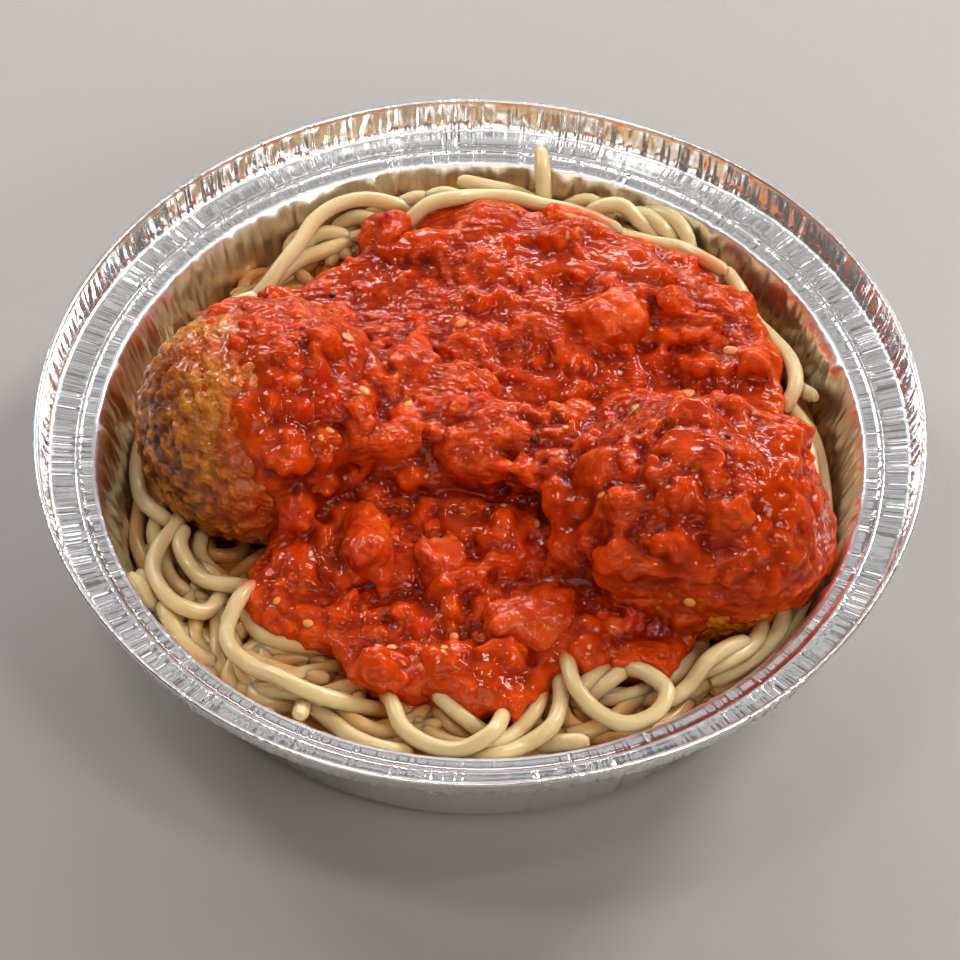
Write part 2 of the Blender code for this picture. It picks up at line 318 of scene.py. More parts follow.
radius, height = np.vstack([centre_line[inner], centre_line[outer]]).T
crimp_share = smooth_step((radius - 83.2) / 0.8) * (1 - 0.55 * smooth_step((height - 42.8) / 0.8))
crease_share = smooth_step((radius - 79.4) / 0.5) * smooth_step((83.0 - radius) / 0.5)
lip_share = smooth_step((height - 37.2) / 1.2) * (1 - smooth_step((height - 42.8) / 0.8))
bends = bell(radius, 79.5, 0.5) + bell(radius, 88.35, 0.4) + 0.4 * smooth_step((height - 42.5) / 0.5)
bend_share = np.clip(bends, 0, 1)
pleat_share = smooth_step((height - 5) / 12) * (1 - smooth_step((height - 34.6) / 1.4)) * (radius < 80.3)

# %% [markdown]
# ## The pan's sheet
# The section is turned round the axis into one closed skin, inside and outside. A soft pan
# that has been filled and carried is never quite round, so its rim bulges and lifts a
# little, and its wall is pressed in at the left. Numbers stored on the points say which way
# is out and how much of each kind of crimp a point takes.

# %% The pan's sheet
angle = np.arange(TURNS) / TURNS * 2 * math.pi
degrees = np.degrees(angle)
high = smooth_step((section[:, 0] - 82) / 7)[None, :]
bulge = 0.5 + 0.7 * bell(degrees, 30, 22) + 0.3 * bell(degrees, 175, 30) + 0.12 * np.sin(7 * angle + 2.0)
lift = 0.18 * np.sin(4 * angle + 0.7) + 0.12 * np.sin(9 * angle)
upper = smooth_step((section[:, 1] - 8) / 25)[None, :]
squeeze = -0.9 * bell(degrees, 185, 50)
r = section[None, :, 0] + high * bulge[:, None] + upper * squeeze[:, None]
z = section[None, :, 1] + high * lift[:, None]
points = np.stack([r * np.cos(angle)[:, None], r * np.sin(angle)[:, None], z], axis=-1).reshape(-1, 3)
faces = revolve(section, TURNS)
count = len(section)
print("pan section of", count, "points,", TURNS, "turns")
inner_pole, outer_pole = len(points), len(points) + 1
points = np.vstack([points, [(0, 0, 0.6 + SHEET)], [(0, 0, 0.6 - SHEET)]])
# The quads that would join the two skins at the middle are left out, and fans close each skin there.
faces = faces[faces[:, 0] % count != count - 1]
ring = np.arange(TURNS)
after = (ring + 1) % TURNS
fans = np.vstack([
    np.stack([np.full(TURNS, inner_pole), ring * count, after * count], axis=1),
    np.stack([np.full(TURNS, outer_pole), after * count + count - 1, ring * count + count - 1], axis=1),
])
all_faces = [tuple(f) for f in faces[:, ::-1].tolist()] + [tuple(f) for f in fans.tolist()]
pan = make_object("foil_pan", points, faces=all_faces)
outward = np.stack(
    [
        push[None, :, 0] * np.cos(angle)[:, None],
        push[None, :, 0] * np.sin(angle)[:, None],
        np.broadcast_to(push[None, :, 1], (TURNS, count)),
    ],
    axis=-1,
).reshape(-1, 3)
give(pan, "outward", np.vstack([outward, [(0, 0, 1)], [(0, 0, 1)]]))
give(pan, "turn", np.concatenate([np.repeat(np.arange(TURNS) / TURNS, count), [0, 0]]))
shares = {
    "crimped": crimp_share, "creased": crease_share, "pleated": pleat_share,
    "puckered": lip_share, "bent": bend_share,
}
for label, share in shares.items():
    give(pan, label, np.concatenate([np.tile(share, TURNS), [0, 0]]))

# %% [markdown]
# ## The crimps
# The press closes on the rim once, so the crimps have one rough pitch but no two are alike:
# some are deep, some nearly flat, and the spacing wanders. A zigzag wave with a wandering
# phase gives the rim. Sparse sharp creases cross the flat inner part of the flange. The
# wall has fine streaks that start at the flange and die out at different depths.

# %% Crimping tree
depths = ("Crimp_depth", "Crease_depth", "Streak_depth", "Pleat_depth", "Pucker_depth")
tree, given = new_nodes(
    "Foil crimps", Crimps="Float", **dict.fromkeys(depths, "Float"), Seed="Float", Foil="Material"
)
turn = add(tree, "GeometryNodeInputNamedAttribute", {"Name": "turn"}, data_type="FLOAT")
circle = add(tree, "ShaderNodeMath", {0: turn, 1: 2 * math.pi}, operation="MULTIPLY")
east = add(tree, "ShaderNodeMath", {0: circle}, operation="COSINE")
north = add(tree, "ShaderNodeMath", {0: circle}, operation="SINE")
ring_place = add(tree, "ShaderNodeCombineXYZ", {0: east, 1: north, 2: given.outputs["Seed"]})
place = add(tree, "GeometryNodeInputPosition")
up = add(tree, "ShaderNodeSeparateXYZ", {0: place}).outputs[2]


def math_node(operation, *values):
    return add(tree, "ShaderNodeMath", dict(enumerate(values)), operation=operation)


def product(first, *others):
    for other in others:
        first = math_node("MULTIPLY", first, other)
    return first


def ranged(value, low, high, to_low, to_high):
    ends = {"From Min": low, "From Max": high, "To Min": to_low, "To Max": to_high}
    return add(tree, "ShaderNodeMapRange", {"Value": value, **ends})


def wander(scale, detail=2.0):
    """Random value near 0.5 that depends on the bearing only, the same at both ends of the turn."""
    settings = {"Vector": ring_place, "Scale": scale, "Detail": detail}
    return add(tree, "ShaderNodeTexNoise", settings).outputs[0]


def drawn_out(width, length, detail=1.0):
    """Random value in upright streaks of this width and length in millimetres, from about -0.3 to 0.3."""
    squeeze = (1.0, 1.0, width / length)
    squeezed = add(tree, "ShaderNodeVectorMath", {0: place, 1: squeeze}, operation="MULTIPLY")
    noise = add(tree, "ShaderNodeTexNoise", {"Vector": squeezed, "Scale": 500.0 / width, "Detail": detail})
    return math_node("SUBTRACT", noise, 0.5)


def share_of(label):
    return add(tree, "GeometryNodeInputNamedAttribute", {"Name": label}, data_type="FLOAT")


# Rim: scallops with narrow grooves between, their spacing and height uneven.
even_phase = math_node("MULTIPLY", turn, given.outputs["Crimps"])
phase = math_node("MULTIPLY_ADD", wander(14.0, 4.0), 12.0, even_phase)
groove = math_node("POWER", math_node("MULTIPLY", math_node("PINGPONG", phase, 0.5), 2.0), 2.2)
uneven = math_node("SUBTRACT", wander(55.0, 2.0), 0.5)
wave = math_node("SUBTRACT", math_node("MULTIPLY", uneven, 2.0), groove)
strength = ranged(wander(9.0, 5.0), 0.38, 0.62, 0.1, 1.4)
crimp = product(wave, strength, share_of("crimped"), given.outputs["Crimp_depth"])
# Inner flange: creases in pairs with flat foil between, and the deepest of the rim's ridges running on.
near_pair = math_node("ABSOLUTE", math_node("SUBTRACT", wander(26.0, 0.0), 0.5))
near_line = math_node("ABSOLUTE", math_node("SUBTRACT", near_pair, 0.06))
line = product(ranged(near_line, 0.0, 0.034, 1.0, 0.0), ranged(wander(31.0, 2.0), 0.40, 0.58, 0.0, 1.0))
running_on = product(wave, ranged(wander(24.0, 3.0), 0.46, 0.60, 0.0, 1.0))
crease = product(math_node("ADD", line, running_on), share_of("creased"), given.outputs["Crease_depth"])
# Wall: fine streaks that hang from the flange to different depths, over broad soft pleats.
reach = ranged(wander(30.0, 3.0), 0.38, 0.62, 26.0 * MM, 4.0 * MM)
fade = ranged(math_node("SUBTRACT", up, reach), 0.0, 12.0 * MM, 0.0, 1.0)
streak = product(drawn_out(0.85, 14.0), fade, share_of("pleated"), given.outputs["Streak_depth"])
folds = math_node("MULTIPLY_ADD", math_node("ABSOLUTE", drawn_out(2.6, 70.0)), 1.6, drawn_out(4.2, 60.0))
pleat = product(folds, share_of("pleated"), given.outputs["Pleat_depth"])
# Lip: short puckers where the sheet was drawn upright.
pucker = product(drawn_out(0.8, 8.0), share_of("puckered"), given.outputs["Pucker_depth"])
on_rim = math_node("ADD", crimp, crease)
on_wall = math_node("ADD", math_node("ADD", streak, pleat), pucker)
total = math_node("ADD", on_rim, on_wall)
outward_way = add(tree, "GeometryNodeInputNamedAttribute", {"Name": "outward"}, data_type="FLOAT_VECTOR")
move = add(tree, "ShaderNodeVectorMath", {0: outward_way, "Scale": total}, operation="SCALE")
pressed = add(tree, "GeometryNodeSetPosition", {"Geometry": given.outputs["Geometry"], "Offset": move})
close_nodes(tree, pressed, given.outputs["Foil"])
crimp_tree = tree

# %% [markdown]
# ## Aluminium
# Bare rolled aluminium: a metal of almost neutral, slightly blue-white reflectance, bright
# but not polished. The dull rolled side leaves a soft gloss that varies from place to
# place, and fine parallel lines from the mill. Where the press stretched the sheet, on the
# pleated wall and most of all at the sharp bends, it is duller.

# %% Aluminium
foil_look, tree, shader = new_material("aluminium foil")
place = add(tree, "ShaderNodeTexCoord").outputs["Object"]
cloud = add(tree, "ShaderNodeTexNoise", {"Vector": place, "Scale": 90.0, "Detail": 3.0})
gloss = add(tree, "ShaderNodeMapRange", {"Value": cloud, "To Min": 0.16, "To Max": 0.23})
drawn = add(tree, "ShaderNodeAttribute", attribute_name="pleated").outputs["Fac"]
gloss = add(tree, "ShaderNodeMath", {0: drawn, 1: 0.10, 2: gloss}, operation="MULTIPLY_ADD")
bent = add(tree, "ShaderNodeAttribute", attribute_name="bent").outputs["Fac"]
gloss = add(tree, "ShaderNodeMath", {0: bent, 1: 0.22, 2: gloss}, operation="MULTIPLY_ADD")
mill = add(tree, "ShaderNodeVectorMath", {0: place, 1: (4000.0, 160.0, 160.0)}, operation="MULTIPLY")
lines = add(tree, "ShaderNodeTexNoise", {"Vector": mill, "Scale": 1.0, "Detail": 2.0})
bump = add(tree, "ShaderNodeBump", {"Height": lines, "Strength": 0.05, "Distance": 0.00006})
ALUMINIUM = (0.91, 0.92, 0.925, 1.0)  # the metal's own linear reflectance
set_values(shader, {"Metallic": 1.0, "Base Color": ALUMINIUM})
tree.links.new(gloss.outputs[0], shader.inputs["Roughness"])
tree.links.new(bump.outputs[0], shader.inputs["Normal"])

run_nodes(
    pan, crimp_tree, Crimps=210.0, Crimp_depth=0.36 * MM, Crease_depth=0.26 * MM,
    Streak_depth=1.1 * MM, Pleat_depth=2.0 * MM, Pucker_depth=1.5 * MM, Seed=3.7, Foil=foil_look,
)
finish_piece(pan, "foil", "foil_tray")

# %% [markdown]
# ## The heap
# Cooked spaghetti slumps against the wall at the back and the front and sags left and
# right, where the meatballs press it down. One function gives the height of the heap's top
# noodles. Everything else, noodles, sauce and small pieces, reads it.

# %% The heap's height
HEAP_AT_WALL = [
    (0, 26), (20, 28), (40, 31), (60, 34), (90, 35.5), (115, 34), (130, 31.5), (145, 28), (160, 23),
    (180, 20.5), (195, 22), (205, 27), (215, 29), (230, 31), (245, 32), (290, 32), (310, 30), (325, 27),
]
BALLS = {
    "left": {"centre": (-44.5, 5.0, 35.5), "half": (26.0, 25.0, 24.0), "turn": 0.0},
    "right": {"centre": (43.5, -21.0, 36.5), "half": (27.0, 23.0, 23.5), "turn": -6.0},
}
NOODLE = 3.4


def wall_radius(z):
    """Inner radius of the pan's wall at a height."""
    return 69.4 + 10.2 * np.maximum((z - 4.0) / 32.2, 0.0)


def heap_height(x, y):
    """Height of the middle of the top noodles."""
    bearing = np.degrees(np.arctan2(y, x)) % 360
    table = np.array(HEAP_AT_WALL + [(360, 26)], float)
    at_wall = np.interp(bearing, table[:, 0], table[:, 1])
    middle = 25.0 + 4.2 * (y / 75.0) ** 2 - 2.4 * (x / 75.0) ** 2
    return middle + (at_wall - middle) * smooth_step((np.hypot(x, y) - 38) / 28)


def ball_distance(x, y, z, ball, grown=0.0):
    """How far a point is inside a meatball, in millimetres, below 0 outside it."""
    a = math.radians(ball["turn"])
    dx, dy, dz = x - ball["centre"][0], y - ball["centre"][1], z - ball["centre"][2]
    local = (dx * math.cos(a) + dy * math.sin(a), -dx * math.sin(a) + dy * math.cos(a), dz)
    half = [h + grown for h in ball["half"]]
    k0 = np.sqrt(sum((p / h) ** 2 for p, h in zip(local, half)))
    k1 = np.sqrt(sum((p / h**2) ** 2 for p, h in zip(local, half)))
    return k0 * (1 - k0) / np.maximum(k1, 1e-6)


# %% [markdown]
# ## Heap core
# What lies under the top layers is a solid, never seen but as the dark between the noodles.
# It is painted a darker orange-brown than the dough, as painted shade. It follows the heap's top a little
# lower, and the pan's wall.

# %% Heap core
CORE_DROP = 5.2
CORE_FOOT = 1.2  # height of its flat underside
sectors, steps = 120, 26
bearing = np.arange(sectors) / sectors * 2 * math.pi
share = np.linspace(0, 1, steps + 1)[1:]
limit = wall_radius(20.0) - 1.0
gx = share[:, None] * limit * np.cos(bearing)
gy = share[:, None] * limit * np.sin(bearing)
gz = heap_height(gx, gy) - CORE_DROP
for ball in BALLS.values():
    cx, cy, cz = ball["centre"]
    near = ((gx - cx) / (ball["half"][0] + 2)) ** 2 + ((gy - cy) / (ball["half"][1] + 2)) ** 2
    under = cz - (ball["half"][2] + 2) * np.sqrt(np.maximum(1 - near, 0))
    gz = np.where(near < 1, np.minimum(gz, under), gz)
gz = np.minimum(gz, 33.0)
squeeze = np.minimum(1.0, (wall_radius(gz) - 0.8) / np.maximum(np.hypot(gx, gy), 1.0))
gx, gy = gx * squeeze, gy * squeeze
top = np.stack([gx, gy, gz], axis=-1).reshape(-1, 3)
foot_radius = 65.5
foot = [foot_radius * np.cos(bearing), foot_radius * np.sin(bearing), np.full(sectors, CORE_FOOT)]
foot = np.stack(foot, axis=1)
core_middle = (0, 0, float(heap_height(0.0, 0.0)) - CORE_DROP)
core_points = np.vstack([top, foot, [core_middle], [(0, 0, CORE_FOOT)]])
core_faces = []
for k in range(steps):
    for i in range(sectors):
        j = (i + 1) % sectors
        core_faces.append((k * sectors + i, (k + 1) * sectors + i, (k + 1) * sectors + j, k * sectors + j))
hub, base_hub = len(core_points) - 2, len(core_points) - 1
for i in range(sectors):
    j = (i + 1) % sectors
    core_faces.append((hub, i, j))
    core_faces.append((base_hub, steps * sectors + j, steps * sectors + i))
core = make_object("pasta_core", core_points, faces=core_faces)

# %% [markdown]
# ## Top noodles
# The noodles that can be told apart are laid one by one, from the lowest to the highest,
# each as a few points along its middle line, in millimetres. A smooth curve through the
# points gives the noodle. Under them and between them lie seeded fillers: short arcs that
# rest on the heap and follow the wall, as noodles do that were turned out of a pan.
#
# This table was not chosen by hand. A separate program worked out 58 of the 62 routes from
# traced lines, lifted each noodle clear of those below, and rounded to half a millimetre.

# %% Routes of the top noodles
ROUTES = [
    # Front left, under and beside the left meatball.
    [(-62.5, -32, 19), (-58, -36.5, 20.5), (-52.5, -40, 21), (-46.5, -42, 20)],
    [(-56, -11.5, 18), (-54, -17.5, 19.5), (-49, -17, 19.5), (-48, -11, 17.5)],
    [(-56.5, -12.5, 21.5), (-57, -18.5, 22), (-53.5, -24, 22), (-48, -26.5, 20.5)],
    [(-64.5, -1, 17.5), (-66, -7.5, 20), (-66.5, -14.5, 21.5), (-63.5, -21, 20)],
    [(-69.5, 16, 21), (-71, 10.5, 20.5), (-71.5, 4.5, 20), (-70.5, -1.5, 20.5), (-68.5, -7, 23),
     (-64.5, -11, 23.5), (-61, -10.5, 19)],
    [(-69.5, -34, 34), (-65, -36.5, 28), (-59, -35, 23.5)],
    [(-63.5, -36.5, 28), (-61, -42, 28.5), (-57.5, -47, 27.5), (-52, -50.5, 27), (-46, -49.5, 24.5)],
    [(-61.5, -12, 21), (-63, -17.5, 23), (-63.5, -23.5, 24), (-61, -29, 24.5), (-56, -33, 25),
     (-50.5, -32, 22.5)],
    [(-61, -9.5, 23), (-62, -15.5, 26), (-64.5, -21.5, 28), (-65.5, -28, 29), (-64, -34, 31),
     (-60, -39, 31), (-54.5, -39, 28.5), (-51.5, -33, 26.5), (-51, -27, 24.5)],
    [(-60, -14.5, 25), (-60.5, -21, 27), (-58, -26.5, 27), (-54.5, -31.5, 29), (-49, -32.5, 29),
     (-44.5, -29.5, 24.5)],
    [(-70, 2, 17), (-70.5, -5, 17.5), (-70.5, -12, 18), (-68.5, -19, 19.5), (-65, -26, 21)],
    [(-66, -4, 14.5), (-66.5, -10, 15), (-65.5, -16, 16), (-62, -22, 17), (-57, -28, 18),
     (-52, -34, 18.5)],
    [(-63, -29, 22), (-60, -34, 23), (-56, -38.5, 23.5), (-51.5, -41, 23.5)],
    [(-68.5, -27, 26), (-66, -32.5, 26.5), (-62.5, -38.5, 26.5), (-58, -43.5, 26.5),
     (-53, -48.5, 25.5)],
    # Front, left of the middle.
    [(-30, -58, 22), (-26, -61.5, 24), (-21, -65, 26), (-16, -68, 26.5), (-10.5, -69, 24.5)],
    [(-36.5, -47.5, 21.5), (-31.5, -50, 23.5), (-27, -53.5, 25), (-22, -57, 25.5), (-16.5, -59, 23)],
    [(-46.5, -52, 27), (-42, -46.5, 26), (-38.5, -41, 22.5)],
    [(-37, -41.5, 25), (-35, -47.5, 25.5), (-34, -53.5, 26), (-33.5, -59, 29), (-33.5, -64.5, 32),
     (-34, -69.5, 35.5)],
    [(-47, -52.5, 29.5), (-43.5, -57.5, 28), (-38, -60.5, 31.5), (-31.5, -62.5, 32.5),
     (-26.5, -62, 27.5)],
    [(-32.5, -62.5, 30), (-28, -66.5, 30), (-23.5, -71, 31), (-17.5, -74, 31.5), (-12, -73, 29)],
    [(-48, -35, 30), (-45.5, -40.5, 28.5), (-42, -45.5, 29), (-36, -47.5, 29.5), (-29.5, -47.5, 28.5),
     (-24, -46, 25.5)],
    [(-44.5, -33.5, 31), (-47.5, -39.5, 33), (-49.5, -45, 31), (-48, -51.5, 32.5), (-43.5, -56, 33),
     (-38.5, -60, 35.5), (-33, -63.5, 36), (-27, -64, 33.5), (-22, -62.5, 29.5), (-16, -61.5, 26.5)],
    # Front, the middle.
    [(-14, -64.5, 23), (-9.5, -63, 24), (-6, -60, 23)],
    [(-16, -63.5, 28.5), (-11.5, -60.5, 28), (-8, -57, 25.5)],
    [(-15, -67, 29), (-9.5, -62.5, 28), (-4.5, -57.5, 25.5)],
    [(-7.5, -62, 29), (-3.5, -67, 28.5), (3, -69, 26.5)],
    [(-8.5, -57.5, 30.5), (-6, -63, 33), (-1.5, -67, 32), (4, -69.5, 29)],
    [(18.5, -51.5, 24.5), (19, -57.5, 26.5), (21.5, -62.5, 26), (26.5, -62, 23.5)],
    [(16.5, -59, 28), (19, -65, 28.5), (25, -67.5, 27), (31.5, -68, 28), (37.5, -64.5, 28),
     (41.5, -59, 26.5), (45, -53.5, 25)],
    [(12, -70.5, 27.5), (17, -71.5, 31), (22.5, -72.5, 33)],
    [(-1.5, -72.5, 30), (4, -74, 33.5), (8, -70, 31.5), (12, -64.5, 31.5), (13.5, -58, 29.5),
     (14, -52, 27)],
    [(-1, -74.5, 30), (4.5, -76.5, 33.5), (9.5, -73, 31.5), (15, -69.5, 33), (17, -63, 32),
     (17, -56.5, 31), (16.5, -50, 28.5)],
    [(-20, -52, 25.5), (-18, -58, 29), (-16, -63.5, 32), (-13.5, -70, 32.5), (-8, -73.5, 32),
     (-2, -75.5, 34), (3.5, -73.5, 36.5), (5.5, -68, 34), (6, -62.5, 30), (6, -56.5, 26.5)],
    # Front right: a ring, and what lies in it.
    [(30, -54, 24.5), (31.5, -58, 25.5), (33, -62, 24.5)],
    [(21, -53.5, 27), (24.5, -58, 28), (30.5, -58.5, 29), (35.5, -55, 28), (38.5, -50.5, 25.5)],
    [(19.5, -59.5, 31), (23.5, -56, 31.5), (27, -52, 30), (30.5, -48, 27.5)],
    [(22, -59.5, 29), (27.5, -56, 31.5), (32, -50.5, 29.5)],
    [(63.5, 23.5, 25.5), (66.5, 18, 26.5), (70, 12.5, 25), (71.5, 6.5, 24), (72, 0, 24),
     (72, -6.5, 24.5), (72, -13, 25), (71.5, -19.5, 25.5), (69.5, -25.5, 25), (66.5, -31, 24)],
    [(60.5, 8, 24.5), (64.5, 11, 28.5), (68.5, 7.5, 27.5), (69.5, 1, 26.5), (69.5, -5.5, 27),
     (70, -12, 27.5), (70, -18.5, 28.5), (69, -25, 28.5), (67, -31, 27.5), (64.5, -36.5, 26),
     (61, -42, 24.5), (56.5, -46.5, 23.5), (52, -51, 24), (47.5, -55, 26.5)],
    [(63.5, -30, 28), (62.5, -36, 29), (60.5, -42, 28), (56.5, -46.5, 27), (52, -51.5, 29),
     (47, -54.5, 28.5)],
    [(59.5, -30.5, 22.5), (58.5, -36.5, 26), (57, -42.5, 29), (54.5, -48, 31.5), (49.5, -52.5, 32.5),
     (43.5, -53, 29)],
    [(46.5, -41, 24.5), (44, -46, 27), (42, -51, 30), (38, -55.5, 29)],
    [(54.5, -46.5, 32), (50.5, -50, 34.5), (46, -54, 35), (42.5, -57.5, 31.5), (38, -61, 30)],
    [(17.5, -49, 31), (18.5, -54.5, 34), (20, -61, 35), (24, -65.5, 33.5), (29.5, -68.5, 33.5),
     (35.5, -66, 33.5), (38, -60.5, 33.5), (34, -56, 33.5), (29.5, -53, 31)],
    # Right side and back right.
    [(65.5, 29.5, 24.5), (67.5, 24.5, 27), (71, 20, 29)],
    [(52, 52, 34), (55.5, 46.5, 32.5), (58.5, 40, 30.5), (62.5, 35, 30), (66, 29, 30),
     (66.5, 22, 30.5), (64, 16.5, 28.5)],
    [(34, 69.5, 31.5), (39.5, 67, 34.5), (44, 61.5, 34.5), (45.5, 56.5, 30.5)],
    [(29.5, 68, 32), (34.5, 67, 34.5), (38.5, 63.5, 34.5), (42.5, 60, 31.5)],
    [(16.5, 70, 31.5), (23, 70.5, 34.5), (28.5, 66.5, 33.5)],
    [(21.5, 66, 30.5), (24.5, 67, 35.5), (30, 67, 37), (34.5, 64, 34.5), (38.5, 61.5, 31.5)],
    # Back, with one noodle that leans on the flange, and back left.
    [(-5.5, 74, 36.5), (0.5, 73.5, 35.5), (7, 73, 34), (12.5, 71.5, 32)],
    [(13.5, 69.5, 33.5), (13, 74.5, 38.5), (12.5, 81.5, 39.5)],
    [(-21, 68, 32), (-14, 70, 35), (-7, 69.5, 32)],
    [(-14, 70, 33), (-8.5, 70, 36.5), (-2, 70, 33.5)],
    [(-32.5, 64.5, 30), (-27, 65.5, 33.5), (-20.5, 63.5, 33)],
    [(-39.5, 57, 30), (-36, 61, 32), (-30.5, 61.5, 32), (-26.5, 59, 28.5)],
    [(-48, 45.5, 27), (-44, 50, 30), (-39.5, 54, 31.5), (-33.5, 57, 32), (-28, 60.5, 31)],
    [(-50, 43, 28.5), (-46, 46.5, 31.5), (-42.5, 51, 34), (-39, 56.5, 35), (-36, 62.5, 35.5),
     (-31.5, 66.5, 36), (-25.5, 68.5, 36), (-19, 68, 35), (-14, 69, 31.5)],
    [(-68.5, 33, 21.5), (-62.5, 35.5, 24.5), (-57, 39, 26), (-54, 44.5, 24.5)],
    [(-56.5, 36, 28), (-54, 40.5, 30.5), (-49, 44, 30.5), (-44.5, 47, 27.5)],
    [(-17, 60.5, 35.5), (-12, 64, 39), (-5.5, 66, 39.5), (0, 69, 37), (7, 69, 36.5), (13.5, 67, 36.5),
     (19.5, 65, 37), (24.5, 61, 38.5), (30, 61, 35)],
    [(14, 64.5, 36.5), (19.5, 60.5, 38.5), (25, 59, 38), (30, 61, 34), (36.5, 59.5, 33.5),
     (43, 58, 33.5), (47.5, 53.5, 35), (52.5, 49.5, 35.5)],
]
print(len(ROUTES), "noodles with a route of their own")


# %% [markdown]
# ## The sauce's outline
# The sauce was ladled on, so it ends in lobes and drips that cling to the noodles. The
# outline is a bearing and a distance from the middle for each lobe and bay. It is needed
# before the noodles are swept, because they are stained orange where the sauce's oil
# creeps along them. Over half of its pairs come from such a program too, some then changed.

# %% The sauce's outline
OUTLINE = [
    (3, 67.0), (9, 63.0), (18, 68.5), (25, 71.0), (31, 69.5), (40, 72.2), (48, 73.0), (57, 68.5), (64, 66.5),
    (71, 69.0), (79, 66.5), (89, 67.0), (97, 65.0), (103, 62.5), (107, 65.5), (111, 65.0), (116, 62.0),
    (126, 62.6), (138, 62.5), (148, 58.0), (158, 50.0), (180, 44.0), (205, 46.0), (213, 56.5), (222, 61.0),
    (230, 60.1), (240, 57.0), (247, 62.3), (256, 65.4), (263, 63.0), (267, 60.3), (271, 66.0), (273, 65.5),
    (277, 69.5), (280, 64.5), (288, 58.0), (297, 60.5), (304, 65.4), (313, 63.7), (320, 58.0), (328, 60.0),
    (336, 70.5), (346, 72.0), (354, 69.0),
]


def outline_radius(bearing):
    """Distance of the sauce's outline from the middle at a bearing in degrees."""
    table = np.array(OUTLINE, float)
    table = np.vstack([table[-1] - (360, 0), table, table[0] + (360, 0)])
    at = np.clip(np.searchsorted(table[:, 0], bearing) - 1, 0, len(table) - 2)
    share = (bearing - table[at, 0]) / (table[at + 1, 0] - table[at, 0])
    share = 0.4 * share + 0.6 * smooth_step(share)
    return table[at, 1] + share * (table[at + 1, 1] - table[at, 1])


def inside_outline(x, y):
    """Millimetres from a point to the outline, along its bearing, above 0 inside."""
    return outline_radius(np.degrees(np.arctan2(y, x)) % 360) - np.hypot(x, y)


# %% [markdown]
# ## Sweeping the noodles
# A noodle is a tube along a line. Each route becomes a smooth curve with a point about
# every millimetre, and each point stores its thickness, how near the sauce is and how deep
# it lies. The fillers walk over the heap by small seeded turns and stop at the wall and at
# the meatballs. One Geometry Nodes tree then sweeps a ring along all of them at once.

# %% Sweep the noodles
def flow(route, step=1.1):
    """Evenly spaced points on a smooth curve through the route."""
    route = np.array(route, float)
    run = np.concatenate([[0], np.cumsum(np.linalg.norm(np.diff(route, axis=0), axis=1))])
    way = np.linspace(0, run[-1], max(int(run[-1] / step), 6))
    slope = np.gradient(route, run, axis=0)
    at = np.clip(np.searchsorted(run, way) - 1, 0, len(route) - 2)
    gap = (run[at + 1] - run[at])[:, None]
    u = (way - run[at])[:, None] / gap
    return (
        (2 * u**3 - 3 * u**2 + 1) * route[at]
        + (u**3 - 2 * u**2 + u) * gap * slope[at]
        + (3 * u**2 - 2 * u**3) * route[at + 1]
        + (u**3 - u**2) * gap * slope[at + 1]
    )


def filler(rng, drop):
    """One noodle of a lower layer: an arc that rests on the heap and stays inside the pan."""
    bearing = rng.uniform(0, 2 * math.pi)
    distance = rng.uniform(44, 74)
    x, y = distance * math.cos(bearing), distance * math.sin(bearing)
    heading = bearing + math.pi / 2 + rng.normal(0, 0.7) + rng.integers(0, 2) * math.pi
    curl = rng.normal(0, 0.035)
    points = []
    for k in range(int(rng.uniform(18, 46))):
        points.append((x, y, float(heap_height(x, y)) - drop + 0.5 * math.sin(0.4 * k + bearing)))
        inward = max(math.hypot(x, y) - 68.0, 0.0)
        toward = math.atan2(-y, -x)
        turn = math.atan2(math.sin(toward - heading), math.cos(toward - heading))
        heading += curl + 0.05 * inward * math.copysign(min(abs(turn), 1.0), turn)
        x, y = x + 1.3 * math.cos(heading), y + 1.3 * math.sin(heading)
    points = np.array(points)
    clear = np.hypot(points[:, 0], points[:, 1]) < wall_radius(points[:, 2]) - NOODLE / 2 - 0.2
    for ball in BALLS.values():
        clear &= ball_distance(*points.T, ball) < -NOODLE / 2
    ends = np.flatnonzero(~clear)
    return points[: ends[0]] if len(ends) else points


rng = np.random.default_rng(11)
noodles = [flow(route) for route in ROUTES]
for drop, how_many in ((6.3, 90), (3.2, 70), (4.6, 90)):
    for _ in range(how_many):
        line = filler(rng, drop)
        if len(line) > 6:
            noodles.append(line)

lines, pairs, thick, stain, depth = [], [], [], [], []
start = 0
for line in noodles:
    count = len(line)
    from_end = np.minimum(np.arange(count), np.arange(count)[::-1])
    end_taper = np.interp(from_end, [0, 1, 2], [0.5, 0.92, 1.0])
    swell = 1 + 0.03 * np.sin(np.arange(count) * 0.37 + start)
    lines.append(line)
    pairs.append(np.stack([np.arange(start, start + count - 1), np.arange(start + 1, start + count)], axis=1))
    thick.append(NOODLE / 2 * end_taper * swell * MM)
    reach = inside_outline(line[:, 0], line[:, 1])
    stain.append(0.85 * smooth_step((reach + 1.6) / 4.6))
    # How deep a noodle lies under the heap's top, read later as painted shade: deeper noodles turn darker
    # amber.
    below_top = heap_height(line[:, 0], line[:, 1]) - line[:, 2]
    depth.append(0.85 * smooth_step(below_top / 6.5))
    start += count
pasta = make_object("spaghetti_strands", np.vstack(lines), edges=np.vstack(pairs))
give(pasta, "thick", np.concatenate(thick))
give(pasta, "stain", np.concatenate(stain))
give(pasta, "depth", np.concatenate(depth))
print(len(noodles), "noodles,", start, "points along them")

